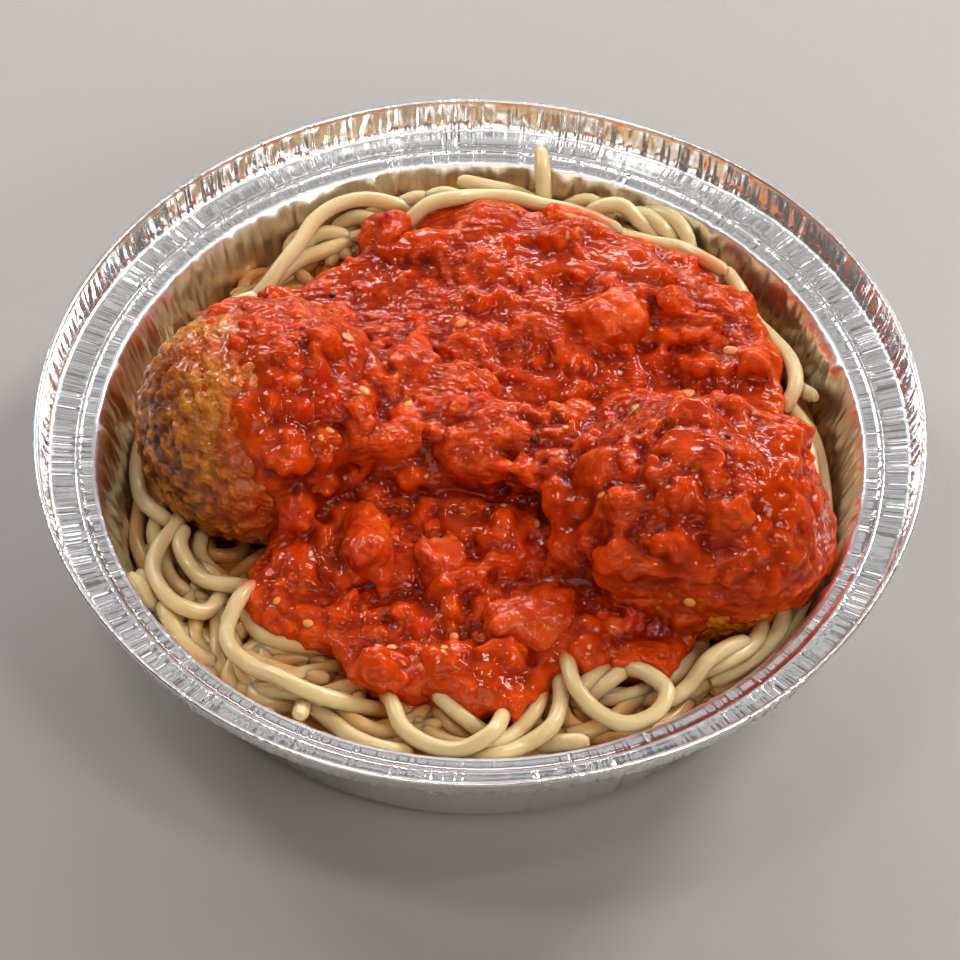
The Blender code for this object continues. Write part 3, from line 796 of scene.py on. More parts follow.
tree, given = new_nodes("Sweep noodles", Sides="Int", Pasta="Material")
line = add(tree, "GeometryNodeMeshToCurve", {"Mesh": given.outputs["Geometry"]})
thickness = add(tree, "GeometryNodeInputNamedAttribute", {"Name": "thick"}, data_type="FLOAT")
ring = add(tree, "GeometryNodeCurvePrimitiveCircle", {"Resolution": given.outputs["Sides"], "Radius": 1.0})
swept = add(
    tree, "GeometryNodeCurveToMesh",
    {"Curve": line, "Profile Curve": ring, "Scale": thickness, "Fill Caps": True},
)
close_nodes(tree, swept, given.outputs["Pasta"])
sweep_tree = tree

# %% [markdown]
# ## Cooked pasta
# Durum dough, boiled until it lets light in: pale straw yellow, soft inside, with a thin
# film of starchy water that gives a broad gloss. It is stained orange near the sauce. Noodles
# deep in the heap are painted a darker amber, as painted shade.

# %% Cooked pasta
pasta_look, tree, shader = new_material("cooked spaghetti")
place = add(tree, "ShaderNodeTexCoord").outputs["Object"]
cloud = add(tree, "ShaderNodeTexNoise", {"Vector": place, "Scale": 120.0, "Detail": 3.0})
dough = add(
    tree, "ShaderNodeMix", {0: cloud, 6: linear("#CBB582"), 7: linear("#D9C9A4")}, data_type="RGBA"
).outputs[2]
depth = add(tree, "ShaderNodeAttribute", attribute_name="depth").outputs["Fac"]
# Painted shade: noodles deeper under the heap's top turn darker amber.
dough = add(tree, "ShaderNodeMix", {0: depth, 6: dough, 7: linear("#C07C22")}, data_type="RGBA").outputs[2]
oil = add(tree, "ShaderNodeAttribute", attribute_name="stain").outputs["Fac"]
colour = add(tree, "ShaderNodeMix", {0: oil, 6: dough, 7: linear("#D0620E")}, data_type="RGBA").outputs[2]
fine = add(tree, "ShaderNodeTexNoise", {"Vector": place, "Scale": 900.0, "Detail": 2.0})
bump = add(tree, "ShaderNodeBump", {"Height": fine, "Strength": 0.15, "Distance": 0.0001})
tree.links.new(colour, shader.inputs["Base Color"])
tree.links.new(bump.outputs[0], shader.inputs["Normal"])
set_values(shader, {
    "Roughness": 0.34, "IOR": 1.40, "Subsurface Weight": 0.7, "Subsurface Radius": (1.0, 0.74, 0.34),
    "Subsurface Scale": 0.0022, "Coat Weight": 0.3, "Coat Roughness": 0.15,
})

# The core's colour is painted shade: darker orange-brown than the noodles, seen only between them.
core_shade_look, tree, shader = new_material("heap core in painted shade")
place = add(tree, "ShaderNodeTexCoord").outputs["Object"]
cloud = add(tree, "ShaderNodeTexNoise", {"Vector": place, "Scale": 260.0, "Detail": 2.0})
colour = add(
    tree, "ShaderNodeMix", {0: cloud, 6: linear("#9A5A1A"), 7: linear("#CC8E3A")}, data_type="RGBA"
).outputs[2]
tree.links.new(colour, shader.inputs["Base Color"])
shader.inputs["Roughness"].default_value = 0.45

run_nodes(pasta, sweep_tree, Sides=12, Pasta=pasta_look)
core.data.materials.append(core_shade_look)
finish_piece(pasta, "pasta", "spaghetti")
finish_piece(core, "pasta", "spaghetti")

# %% [markdown]
# ## Meatballs
# Minced meat rolled by hand and baked: a slightly flattened ball with shallow dents, a
# grainy crust of crumbs of meat, and cracks and pits between them. A fine sphere is pushed
# along its normals by three sizes of noise, coarse to fine, in one Geometry Nodes tree.

# %% Meatballs
tree, given = new_nodes(
    "Minced crust", Dent_depth="Float", Crumb_depth="Float", Pit_depth="Float", Seed="Float", Meat="Material"
)
where = add(tree, "GeometryNodeInputPosition")
shift = add(tree, "ShaderNodeCombineXYZ", {0: given.outputs["Seed"]})
where = add(tree, "ShaderNodeVectorMath", {0: where, 1: shift}, operation="ADD")
dents = add(tree, "ShaderNodeTexNoise", {"Vector": where, "Scale": 70.0, "Detail": 2.0})
crumbs = add(tree, "ShaderNodeTexVoronoi", {"Vector": where, "Scale": 400.0}, feature="F1")
pits = add(tree, "ShaderNodeTexNoise", {"Vector": where, "Scale": 420.0, "Detail": 4.0, "Roughness": 0.6})
dent = add(tree, "ShaderNodeMath", {0: dents, 1: given.outputs["Dent_depth"]}, operation="MULTIPLY")
crumb = add(
    tree, "ShaderNodeMath", {0: crumbs, 1: given.outputs["Crumb_depth"], 2: dent}, operation="MULTIPLY_ADD"
)
in_a_pit = {"From Min": 0.36, "From Max": 0.52, "To Min": 1.0, "To Max": 0.0}
deep = add(tree, "ShaderNodeMapRange", {"Value": pits, **in_a_pit})
total = add(
    tree, "ShaderNodeMath", {0: deep, 1: given.outputs["Pit_depth"], 2: crumb}, operation="MULTIPLY_ADD"
)
# How deep a point lies in a pit or between crumbs, stored for the painted shade there.
hollow = add(tree, "ShaderNodeMath", {0: deep, 1: 0.5, 2: crumbs}, operation="MULTIPLY_ADD")
normal = add(tree, "GeometryNodeInputNormal")
move = add(tree, "ShaderNodeVectorMath", {0: normal, "Scale": total}, operation="SCALE")
grained = add(tree, "GeometryNodeSetPosition", {"Geometry": given.outputs["Geometry"], "Offset": move})
grained = add(
    tree, "GeometryNodeStoreNamedAttribute", {"Geometry": grained, "Name": "hollow", "Value": hollow}
)
close_nodes(tree, grained, given.outputs["Meat"])
crust_tree = tree

# %% [markdown]
# ## Baked minced meat
# Minced meat is browned in patches. It is painted darker in its cracks and pits, read from the
# depth that the crust tree stored: painted shade, with some random dark specks. Fat and sauce leave a glaze,
# orange in patches.

# %% Baked minced meat
meat_look, tree, shader = new_material("baked minced meat")
place = add(tree, "ShaderNodeTexCoord").outputs["Object"]
broad = add(tree, "ShaderNodeTexNoise", {"Vector": place, "Scale": 110.0, "Detail": 4.0})
small = add(tree, "ShaderNodeTexNoise", {"Vector": place, "Scale": 520.0, "Detail": 4.0})
# Painted shade: the colour turns dark brown in the cracks and pits, with random dark specks from noise.
crumb = add(tree, "ShaderNodeAttribute", attribute_name="hollow").outputs["Fac"]
crumb = add(tree, "ShaderNodeMath", {0: small, 1: 0.5, 2: crumb}, operation="MULTIPLY_ADD")
crumb = add(tree, "ShaderNodeMapRange", {"Value": crumb, "From Min": 0.50, "From Max": 1.15}).outputs[0]
browned = add(
    tree, "ShaderNodeMix", {0: broad, 6: linear("#A44E10"), 7: linear("#EAA23A")}, data_type="RGBA"
).outputs[2]
colour = add(tree, "ShaderNodeMix", {0: crumb, 6: browned, 7: linear("#5E260C")}, data_type="RGBA").outputs[2]
juice = add(tree, "ShaderNodeAttribute", attribute_name="glazed").outputs["Fac"]
patches = add(tree, "ShaderNodeTexNoise", {"Vector": place, "Scale": 75.0, "Detail": 2.0})
patches = add(tree, "ShaderNodeMapRange", {"Value": patches, "From Min": 0.4, "From Max": 0.6}).outputs[0]
film = add(
    tree, "ShaderNodeMix", {0: patches, 6: linear("#C44C06"), 7: linear("#D88414")}, data_type="RGBA"
).outputs[2]
colour = add(tree, "ShaderNodeMix", {0: juice, 6: colour, 7: film}, data_type="RGBA").outputs[2]
beads = add(
    tree, "ShaderNodeTexVoronoi", {"Vector": place, "Scale": 850.0, "Smoothness": 0.5}, feature="SMOOTH_F1"
).outputs[0]
grain = add(tree, "ShaderNodeMath", {0: beads, 1: -0.8, 2: small}, operation="MULTIPLY_ADD")
bump = add(tree, "ShaderNodeBump", {"Height": grain, "Strength": 0.8, "Distance": 0.0008})
tree.links.new(colour, shader.inputs["Base Color"])
tree.links.new(bump.outputs[0], shader.inputs["Normal"])
set_values(shader, {
    "Roughness": 0.34, "IOR": 1.42, "Subsurface Weight": 0.2, "Subsurface Radius": (1.0, 0.35, 0.15),
    "Subsurface Scale": 0.0015, "Coat Weight": 0.6, "Coat Roughness": 0.12,
})

# %% [markdown]
# ## Placing the meatballs
# Both start as spheres of even triangles, stretched and set in place. The left one is bare
# on its outer side, and the same line that ends its coat of sauce decides where it is wet.

# %% Placing the meatballs
def covered_left(x, y, z):
    """Millimetres behind the line on the left meatball where its sauce ends, below 0 where it is bare."""
    bare = math.radians(202.0)
    return -((x + 50.0) * math.cos(bare) + y * math.sin(bare)) + 0.10 * (z - 45.0)


def round_ball(name, ball):
    """A sphere of even triangles, stretched to the meatball's half axes and set in place."""
    bm = bmesh.new()
    bmesh.ops.create_icosphere(bm, subdivisions=6, radius=1.0)
    points = np.array([v.co for v in bm.verts])
    faces = np.array([[v.index for v in f.verts] for f in bm.faces])
    bm.free()
    points = points * np.array(ball["half"])
    a = math.radians(ball["turn"])
    turned = np.stack(
        [
            points[:, 0] * math.cos(a) - points[:, 1] * math.sin(a),
            points[:, 0] * math.sin(a) + points[:, 1] * math.cos(a),
            points[:, 2],
        ],
        axis=1,
    )
    return make_object(name, turned + np.array(ball["centre"]), faces=faces)


for side, seed in (("left", 0.31), ("right", 0.77)):
    ball = round_ball("meat_" + side, BALLS[side])
    points = np.empty(3 * len(ball.data.vertices))
    ball.data.vertices.foreach_get("co", points)
    x, y, z = points.reshape(-1, 3).T / MM
    wet = smooth_step(1 + covered_left(x, y, z) / 18) if side == "left" else np.ones(len(x))
    give(ball, "glazed", 0.8 * np.maximum(wet, 0.9 * smooth_step((34 - z - 0.4 * (x + 60)) / 14)))
    run_nodes(
        ball, crust_tree, Dent_depth=2.6 * MM, Crumb_depth=-1.6 * MM, Pit_depth=-0.9 * MM,
        Seed=seed, Meat=meat_look,
    )
    finish_piece(ball, "meat", "meatball_" + side)

# %% [markdown]
# ## Tomato sauce
# Crushed tomato, cooked down: a wet pulp that mounds over what it is poured on, with
# pieces of tomato that push it up from below. A surface like that folds over the
# meatballs' sides, so it isn't a height map. It is made as a field in space, positive in
# the sauce. Simple bodies are blended into it, a sheet on the noodles, a coat on each
# meatball, swells and lumps, then noise roughens it, and at last it is cut clear of what it
# lies on. Where the field passes zero is the sauce's skin, which surface nets turn into a mesh.

#
# A field like this is a number at every point of a grid, so the tools are few: a soft
# noise, a mean over a cube, and unions and cuts whose creases are filled.

# %% Field tools
STEP = 0.55
axis_x = np.arange(-66.0, 79.0, STEP)
axis_y = np.arange(-74.0, 77.0, STEP)
axis_z = np.arange(20.0, 65.0, STEP)
X, Y, Z = np.meshgrid(axis_x, axis_y, axis_z, indexing="ij", sparse=True)


def soft_noise(size, seed, axes=(axis_x, axis_y, axis_z)):
    """Smooth random field of even strength on a grid, from a random value every size millimetres."""
    rng = np.random.default_rng(seed)
    weights = []
    for axis, spacing in zip(axes, np.broadcast_to(size, 3)):
        u = (axis - axis[0]) / spacing + 1
        gap = np.abs(u[:, None] - np.arange(int(u[-1]) + 3))
        near, far = 2 / 3 - gap**2 + gap**3 / 2, (2 - gap) ** 3 / 6
        weights.append(np.where(gap < 1, near, np.where(gap < 2, far, 0.0)).astype(np.float32))
    lattice = rng.uniform(-1, 1, [w.shape[1] for w in weights]).astype(np.float32)
    field = np.einsum("ia,jb,kc,abc->ijk", *weights, lattice, optimize=True)
    return field / field.std()


def box_mean(values, width):
    """Mean over a cube of width grid points round each one."""
    for axis in range(3):
        ends = [(width // 2 + 1, width // 2) if k == axis else (0, 0) for k in range(3)]
        total = np.cumsum(np.pad(values, ends, mode="edge"), axis=axis, dtype=np.float64)
        total = np.moveaxis(total, axis, 0)
        values = np.moveaxis((total[width:] - total[:-width]) / width, 0, axis).astype(np.float32)
    return values


def blend_in(a, b, soft):
    """Union of two fields, its crease filled by a fillet of about that size."""
    near = np.maximum(soft - np.abs(a - b), 0.0) / soft
    return np.maximum(a, b) + near * near * soft / 4


def cut_to(a, b, soft):
    """What is inside both fields, with its edge rounded."""
    return -blend_in(-a, -b, soft)


def swell(x, y, place, half_widths, turn):
    a = math.radians(turn)
    u = ((x - place[0]) * math.cos(a) + (y - place[1]) * math.sin(a)) / half_widths[0]
    v = (-(x - place[0]) * math.sin(a) + (y - place[1]) * math.cos(a)) / half_widths[1]
    return np.exp(-(u**2 + v**2))


print("grid of", len(axis_x), "by", len(axis_y), "by", len(axis_z), "points")

# %% [markdown]
# ## The sauce's bodies
# The sheet follows the top of the heap and thins towards its outline. Swells raise it
# where more was poured, and two banks fill the valley between the meatballs. Each meatball
# wears a coat that ends along a line, and the coats are blended into the sheet.

# %% The sauce's bodies
def block_distance(x, y, z, half, pose, power):
    """How far a point is inside a block with rounded edges, the larger the power the sharper."""
    local = [x * pose[0][i] + y * pose[1][i] + z * pose[2][i] for i in range(3)]
    return (1 - sum(np.abs(p / h) ** power for p, h in zip(local, half)) ** (1 / power)) * min(half)


SWELLS = [
    ((10, 36), 8.5, (42, 26), 0), ((8, -38), 4.0, (30, 12), 0), ((2, -18), 8.5, (30, 13), 0),
    ((-31, -26), 6.0, (10, 9), -30), ((17, -40), 3.0, (9, 6), 0),
]
BANKS = [
    # centre, half sizes, turn: what the ladle piled up between the meatballs
    ((-12.0, 1.0, 33.0), (18.0, 18.5, 15.0), -6),
    ((14.0, -7.0, 36.0), (20.0, 8.5, 13.5), -4),
]
x2, y2 = X[:, :, 0], Y[:, :, 0]
edge = inside_outline(x2, y2)
share = np.clip(1 - edge / outline_radius(np.degrees(np.arctan2(y2, x2)) % 360), 0, 1.2)
SINK = 1.2  # how far the sauce sinks in between the noodles
EDGE_THICKNESS, BODY_THICKNESS = 2.4, 3.4
under = heap_height(x2, y2) + NOODLE / 2 - SINK
over = under + EDGE_THICKNESS + BODY_THICKNESS * (1 - share**5)
for place, gain, half_widths, turn in SWELLS:
    over = over + gain * (1 - np.minimum(share, 1) ** 5) * swell(x2, y2, place, half_widths, turn)
tilt = np.sqrt(1 + sum(g**2 for g in np.gradient(over, STEP)))
sheet = (over[:, :, None] - Z) / tilt[:, :, None]
lobes, clots = soft_noise(6.0, 1), soft_noise(3.2, 2)
sheet = cut_to(sheet, edge[:, :, None] + 0.8 * lobes, 3.0)
for centre, half, turn in BANKS:
    pose = Euler((0, 0, math.radians(turn))).to_matrix()
    bank = block_distance(X - centre[0], Y - centre[1], Z - centre[2], half, pose, 3.0)
    sheet = blend_in(sheet, bank, 3.5)

SAUCE_COAT = 2.0
HIDDEN = 2.0  # how deep under a bare meatball's skin its coat ends


def coat_of(ball, covered):
    """Sauce on a meatball: its full coat where covered is 1, and under the meatball's skin where it is 0."""
    return ball_distance(X, Y, Z, ball) - HIDDEN + (HIDDEN + SAUCE_COAT) * smooth_step(covered)


covered = covered_left(X, Y, Z) + 2.0 * lobes + 1.4 * clots
left_coat = coat_of(BALLS["left"], covered / 15 + 0.45)
covered = Z - 23.0 - 10.0 * np.exp(-(((X - 55) / 12) ** 2) - ((Y + 40) / 12) ** 2) + 1.5 * lobes + 1.0 * clots
right_coat = coat_of(BALLS["right"], covered / 10 + 0.45)
field = blend_in(blend_in(sheet, left_coat, 4.0), right_coat, 4.0)

# %% [markdown]
# ## Lumps and roughness
# Crushed tomato leaves lumps of every size, many small ones to each large one. The large
# ones have places of their own, the tomato pieces get a mound under them, and the rest are
# scattered with a fixed seed. Three sizes of noise, and folds across the back, do the rest.

# %% Lumps and roughness
def top_of(field):
    """Height of the topmost sauce over each point of the plan, between grid points too."""
    inside = field > 0
    last = len(axis_z) - 1 - np.argmax(inside[:, :, ::-1], axis=2)
    last = np.minimum(last, len(axis_z) - 2)
    i, j = np.indices(last.shape)
    low, high = field[i, j, last], field[i, j, last + 1]
    height = axis_z[last] + STEP * low / np.maximum(low - high, 1e-6)
    return np.where(inside.any(axis=2), height, np.nan)


def add_lump(field, centre, half, pose, soft):
    """Blends one lump into the field, near it only."""
    reach = max(half) + 4
    axes = (axis_x, axis_y, axis_z)
    window = tuple(slice(*np.searchsorted(axis, (c - reach, c + reach))) for axis, c in zip(axes, centre))
    dx, dy, dz = X[window[0]] - centre[0], Y[:, window[1]] - centre[1], Z[:, :, window[2]] - centre[2]
    field[window] = blend_in(field[window], block_distance(dx, dy, dz, half, pose, 2.4), soft)


CHUNKS = [
    # centre, size, turn about the vertical, lean
    ((-22.0, -27.5, 37.0), (9, 17, 9), 8, -16),
    ((-6.5, -33.0, 37.0), (10, 10, 9), 20, -10),
    ((10.5, -47.0, 35.0), (15, 12, 10), -8, -14),
    ((-10.5, -56.0, 31.5), (12, 10, 9), 5, -12),
    ((30.0, -50.5, 29.6), (9, 8, 6.5), 15, -8),
    ((-20.5, 59.0, 35.5), (7, 8, 10), 30, 12),
    ((27.0, 31.0, 38.5), (15, 11, 9), 24, 0),
    ((9.0, 58.0, 34.5), (10, 8, 7), -12, 6),
]
LUMPS = [
    # centre, half sizes, turn, tone from dark to bright
    ((7.4, -29.8, 33.0), (7.0, 6.0, 5.5), 10, 0.6), ((-2.8, -17.0, 35.0), (6.5, 4.0, 4.5), 0, 0.7),
    ((-5.0, -43.4, 32.5), (6.0, 4.5, 4.0), 0, 0.2), ((1.2, -59.5, 32.5), (8.0, 5.0, 5.0), 0, 0.8),
    ((-35.0, -36.0, 30.5), (8.0, 6.0, 4.0), -20, 0.4), ((18.7, -31.6, 40.5), (5.0, 4.0, 5.0), 0, 0.2),
    # front edge of the bank
    ((-17.6, -9.0, 46.0), (6.0, 5.0, 5.5), 20, 0.95), ((-0.2, -12.0, 44.5), (7.0, 4.5, 5.0), 0, 0.7),
    ((10.5, -14.8, 44.5), (4.0, 3.0, 4.0), 0, 0.2), ((17.2, -14.0, 43.5), (6.0, 4.0, 6.0), 0, 0.6),
    # on the left meatball
    ((-25.6, -3.3, 51.0), (4.6, 4.2, 4.6), 0, 0.8), ((-41.5, -14.5, 51.0), (7.0, 3.2, 3.0), -50, 0.9),
    ((-36.7, -20.5, 39.0), (3.5, 3.0, 4.0), 0, 0.7),
    ((-34.0, -13.0, 36.0), (5.0, 6.0, 8.0), 30, 0.5),
    # ribs that run down the right meatball
    ((28.4, -39.0, 45.5), (5.0, 3.5, 5.0), 0, 1.0), ((29.5, -30.6, 53.5), (4.5, 3.5, 5.5), 0, 0.8),
    ((49.7, -35.5, 53.0), (4.2, 3.0, 8.0), 0, 0.85), ((40.4, -39.5, 50.0), (3.2, 3.0, 6.0), 0, 0.4),
    ((40.4, -31.0, 57.5), (3.8, 3.0, 5.0), 0, 0.7),
    # back
    ((-8.5, 62.5, 35.0), (6.5, 3.5, 3.2), 10, 0.5), ((17.5, 62.3, 37.8), (6.0, 2.8, 2.4), -14, 0.95),
    ((-11.5, 53.0, 37.5), (5.0, 4.0, 4.0), 0, 0.8), ((44.0, 31.6, 35.0), (5.0, 5.0, 4.0), 0, 0.7),
]
lumps = []
for centre, half, turn, shade in LUMPS:
    lumps.append((np.array(centre), np.array(half), shade))
    add_lump(field, centre, half, Euler((0, 0, math.radians(turn))).to_matrix(), 2.5)
for centre, size, turn, lean in CHUNKS:
    pose = Euler((math.radians(lean), 0, math.radians(turn))).to_matrix()
    low = np.array(centre) - (0, 0, 0.28 * size[2])
    add_lump(field, low, 0.47 * np.array(size) + (0.5, 0.5, -0.8), pose, 3.5)
rng = np.random.default_rng(5)
top = top_of(field)
LUMPS_IN_ALL = 260
while len(lumps) < LUMPS_IN_ALL:
    i, j = rng.integers(4, len(axis_x) - 4), rng.integers(4, len(axis_y) - 4)
    if not np.isfinite(top[i, j]) or edge[i, j] < 4 or (axis_y[j] > 12 and rng.random() < 0.5):
        continue
    size = 1.3 + 3.4 * rng.random() ** 2.5
    half = size * rng.uniform(0.75, 1.35, 3)
    centre = np.array((axis_x[i], axis_y[j], top[i, j] - rng.uniform(0.3, 0.75) * size))
    lumps.append((centre, half, rng.random()))
    add_lump(field, centre, half, Euler(rng.uniform(0, math.pi, 3)).to_matrix(), 1.6)
print(len(lumps), "lumps")
folds = soft_noise((7.0, 2.9, 3.2), 4)
rough = 0.36 * lobes + 0.40 * (np.abs(clots) - 0.8) + 0.36 * (np.abs(soft_noise(1.7, 3)) - 0.8)
field = field + np.maximum(rough + 0.35 * smooth_step((Y - 5) / 20) * folds, -1.1)
crowding = box_mean((field > 0).astype(np.float32), 11)

for ball in BALLS.values():
    field = np.minimum(field, -ball_distance(X, Y, Z, ball, -1.8))
floor_of_sauce = np.minimum(under - 4.0, 37.0)
field = np.minimum(field, Z - floor_of_sauce[:, :, None])
field[:, :, :2] = field[:, :, -2:] = -1.0
print("field of", field.size, "points")


# %% [markdown]
# ## Surface nets
# The skin is where the field passes zero. Surface nets put one point in each cell of the
# grid that the skin crosses, at the middle of its crossings, and one quad across each grid
# edge that it cuts. That gives an even mesh of quads, with far less code than marching
# cubes. The skin then stores what its material needs: how far each point stands out, for
# painted light and shade, how thin the sauce is there, whether a lump is under it and how
# bright that lump is.

# %% Surface nets
def surface_net(field, axes):
    """Points and quads of the skin where the field passes zero. It faces out of the positive side."""
    corners = np.array([(i, j, k) for i in (0, 1) for j in (0, 1) for k in (0, 1)])
    size = np.array(field.shape) - 1
    inside = field > 0
    views = [tuple(slice(c, c + s) for c, s in zip(corner, size)) for corner in corners]
    some = np.zeros(size, bool)
    every = np.ones(size, bool)
    for view in views:
        some |= inside[view]
        every &= inside[view]
    cells = np.argwhere(some & ~every)
    values = np.stack([field[view][tuple(cells.T)] for view in views])
    total, crossings = np.zeros((len(cells), 3)), np.zeros(len(cells))
    for a in range(8):
        for b in range(a + 1, 8):
            if np.abs(corners[a] - corners[b]).sum() != 1:
                continue
            crossed = (values[a] > 0) != (values[b] > 0)
            t = np.where(crossed, values[a] / np.where(crossed, values[a] - values[b], 1.0), 0.0)
            total += crossed[:, None] * (corners[a] + t[:, None] * (corners[b] - corners[a]))
            crossings += crossed
    place = cells + total / crossings[:, None]
    points = np.stack([axis[0] + (axis[1] - axis[0]) * place[:, i] for i, axis in enumerate(axes)], axis=1)
    number = np.full(size, -1)
    number[tuple(cells.T)] = np.arange(len(cells))
    quads = []
    for axis in range(3):
        side, other = np.eye(3, dtype=int)[(axis + 1) % 3], np.eye(3, dtype=int)[(axis + 2) % 3]
        before = np.moveaxis(np.moveaxis(inside, axis, 0)[:-1], 0, axis)
        beyond = np.moveaxis(np.moveaxis(inside, axis, 0)[1:], 0, axis)
        at = np.argwhere(before != beyond)
        for across in ((axis + 1) % 3, (axis + 2) % 3):
            at = at[(at[:, across] > 0) & (at[:, across] < size[across])]
        round_edge = [at - s * side - o * other for s, o in ((1, 1), (0, 1), (0, 0), (1, 0))]
        quad = np.stack([number[tuple(cell.T)] for cell in round_edge], axis=1)
        leaving = before[tuple(at.T)]
        quads.append(np.where(leaving[:, None], quad, quad[:, ::-1]))
    return points, np.vstack(quads)


points, quads = surface_net(field, (axis_x, axis_y, axis_z))
sauce = make_object("sauce_skin", points, faces=quads)
top = top_of(field)


def blur(values, width):
    """Mean over a square of the plan, holes in the map left out."""
    known = np.isfinite(values)
    filled = np.where(known, values, 0.0)
    kernel = np.ones(width) / width
    for axis in (0, 1):
        filled = np.apply_along_axis(np.convolve, axis, filled, kernel, mode="same")
        known = np.apply_along_axis(np.convolve, axis, known.astype(float), kernel, mode="same")
    return filled / np.maximum(known, 1e-3)


def read_at(values, points):
    """Values of a grid at points between its points."""
    place = np.clip((points - (axis_x[0], axis_y[0], axis_z[0])) / STEP, 0, np.array(values.shape) - 1.001)
    low = place.astype(int)
    part = place - low
    total = 0
    for corner in np.ndindex(2, 2, 2):
        weight = np.prod(np.where(corner, part, 1 - part), axis=1)
        total = total + weight * values[tuple((low + corner).T)]
    return total


# What stands out has little sauce round it, and a hollow has much. The sauce is painted lighter where it
# stands out and darker in hollows: painted light and shade.
openness_light_shade = smooth_step(0.5 + 2.4 * (0.5 - read_at(crowding, points)))
near_outline = 1 - smooth_step((inside_outline(points[:, 0], points[:, 1]) - 0.5) / 4.0)
thin = near_outline * (1 - smooth_step((points[:, 2] - 36) / 4))
for ball in BALLS.values():
    thin = np.maximum(thin, 1 - smooth_step((-ball_distance(*points.T, ball) - 0.6) / 1.4))
weight, shades, pulp = np.full(len(points), 1e-3), np.full(len(points), 0.5e-3), np.zeros(len(points))
for centre, half, shade in lumps:
    near = np.flatnonzero(np.abs(points[:, 0] - centre[0]) < max(half) + 1)
    share = smooth_step((1 - np.linalg.norm((points[near] - centre) / (half + 0.8), axis=1)) * 2.5)
    weight[near] += share
    shades[near] += share * shade
    pulp[near] = np.maximum(pulp[near], share)
for label, values in (("openness_light_shade", openness_light_shade), ("thin", thin), ("tone", shades / weight), ("pulp", pulp)):
    give(sauce, label, values)

# %% [markdown]
# ## Wet tomato pulp
# Tomato pulp is red because light goes some way in and only red comes back, so it has a
# deep subsurface colour. It is painted brighter on what stands up and darker in the hollows,
# as painted light and shade. Its skin is water and oil: sharp, small highlights on a fine
# grain of pulp. Where it thins out over the noodles it turns orange.

# %% Wet tomato pulp
def mixed(factor, first, second):
    """A colour between two, each a hex text or a socket."""
    ends = [linear(c) if isinstance(c, str) else c for c in (first, second)]
    return add(tree, "ShaderNodeMix", {0: factor, 6: ends[0], 7: ends[1]}, data_type="RGBA").outputs[2]


def noise_at(millimetres, detail=3.0, roughness=0.5):
    """Noise with features of about this size."""
    settings = {"Vector": place, "Scale": 500.0 / millimetres, "Detail": detail, "Roughness": roughness}
    return add(tree, "ShaderNodeTexNoise", settings).outputs[0]


def stored(label):
    return add(tree, "ShaderNodeAttribute", attribute_name=label).outputs["Fac"]


def spread(value, low, high, to_low=0.0, to_high=1.0):
    ends = {"From Min": low, "From Max": high, "To Min": to_low, "To Max": to_high}
    return add(tree, "ShaderNodeMapRange", {"Value": value, **ends}).outputs[0]


sauce_look, tree, shader = new_material("tomato sauce")
place = add(tree, "ShaderNodeTexCoord").outputs["Object"]
# Painted light and shade: the liquid is brighter where the skin stands out and darker in hollows, varied by
# random noise.
level = {0: noise_at(3.5, 4.0), 1: 0.9, 2: stored("openness_light_shade")}
level = add(tree, "ShaderNodeMath", level, operation="MULTIPLY_ADD")
liquid = mixed(spread(level, 0.55, 1.4), "#842004", "#CC4C0B")
flesh = mixed(stored("tone"), "#BC2E06", "#E65E1A")
body = add(tree, "ShaderNodeMath", {0: stored("pulp"), 1: 0.75}, operation="MULTIPLY")
colour = mixed(body, liquid, flesh)
flecks = spread(noise_at(1.3, 2.0), 0.60, 0.72, 0.0, 0.4)
colour = mixed(flecks, colour, "#DC762C")
film = add(tree, "ShaderNodeMath", {0: stored("thin"), 1: 0.25}, operation="MULTIPLY")
colour = mixed(film, colour, "#C4540E")
grains = add(
    tree, "ShaderNodeTexVoronoi", {"Vector": place, "Scale": 800.0, "Smoothness": 0.7}, feature="SMOOTH_F1"
).outputs[0]
flow = {"Vector": place, "Rotation": (0.0, 0.0, math.radians(-38)), "Scale": (0.42, 1.0, 1.0)}
flow = add(tree, "ShaderNodeMapping", flow).outputs[0]
ripples = add(tree, "ShaderNodeTexNoise", {"Vector": flow, "Scale": 560.0, "Detail": 1.5}).outputs[0]
relief = add(tree, "ShaderNodeMath", {0: grains, 1: -0.26, 2: ripples}, operation="MULTIPLY_ADD")
calm = spread(noise_at(7.0, 1.0), 0.40, 0.58, 0.25, 1.0)
relief = add(tree, "ShaderNodeMath", {0: relief, 1: calm}, operation="MULTIPLY")
bump = add(tree, "ShaderNodeBump", {"Height": relief, "Strength": 1.0, "Distance": 0.0012})
tree.links.new(colour, shader.inputs["Base Color"])
tree.links.new(bump.outputs[0], shader.inputs["Normal"])
tree.links.new(spread(noise_at(5.0), 0.35, 0.65, 0.06, 0.12), shader.inputs["Roughness"])
set_values(shader, {
    "IOR": 1.37, "Subsurface Weight": 0.4, "Subsurface Radius": (1.0, 0.24, 0.06), "Subsurface Scale": 0.0024,
})
sauce.data.materials.append(sauce_look)
KEPT_SHARE = 0.475  # of the skin's triangles, to stay under the limit for one piece
sauce.modifiers.new("Thin out", "DECIMATE").ratio = KEPT_SHARE
finish_piece(keep_mesh(sauce), "sauce", "tomato_sauce")

# %% [markdown]
# ## Tomato pieces
# Peeled tomato cut in rough dice: soft corners, one flat side or two, redder and glossier
# than the pulp round them. Each is a field of its own, a rounded block with corners cut
# away and an uneven skin, made into a mesh by the same surface nets.

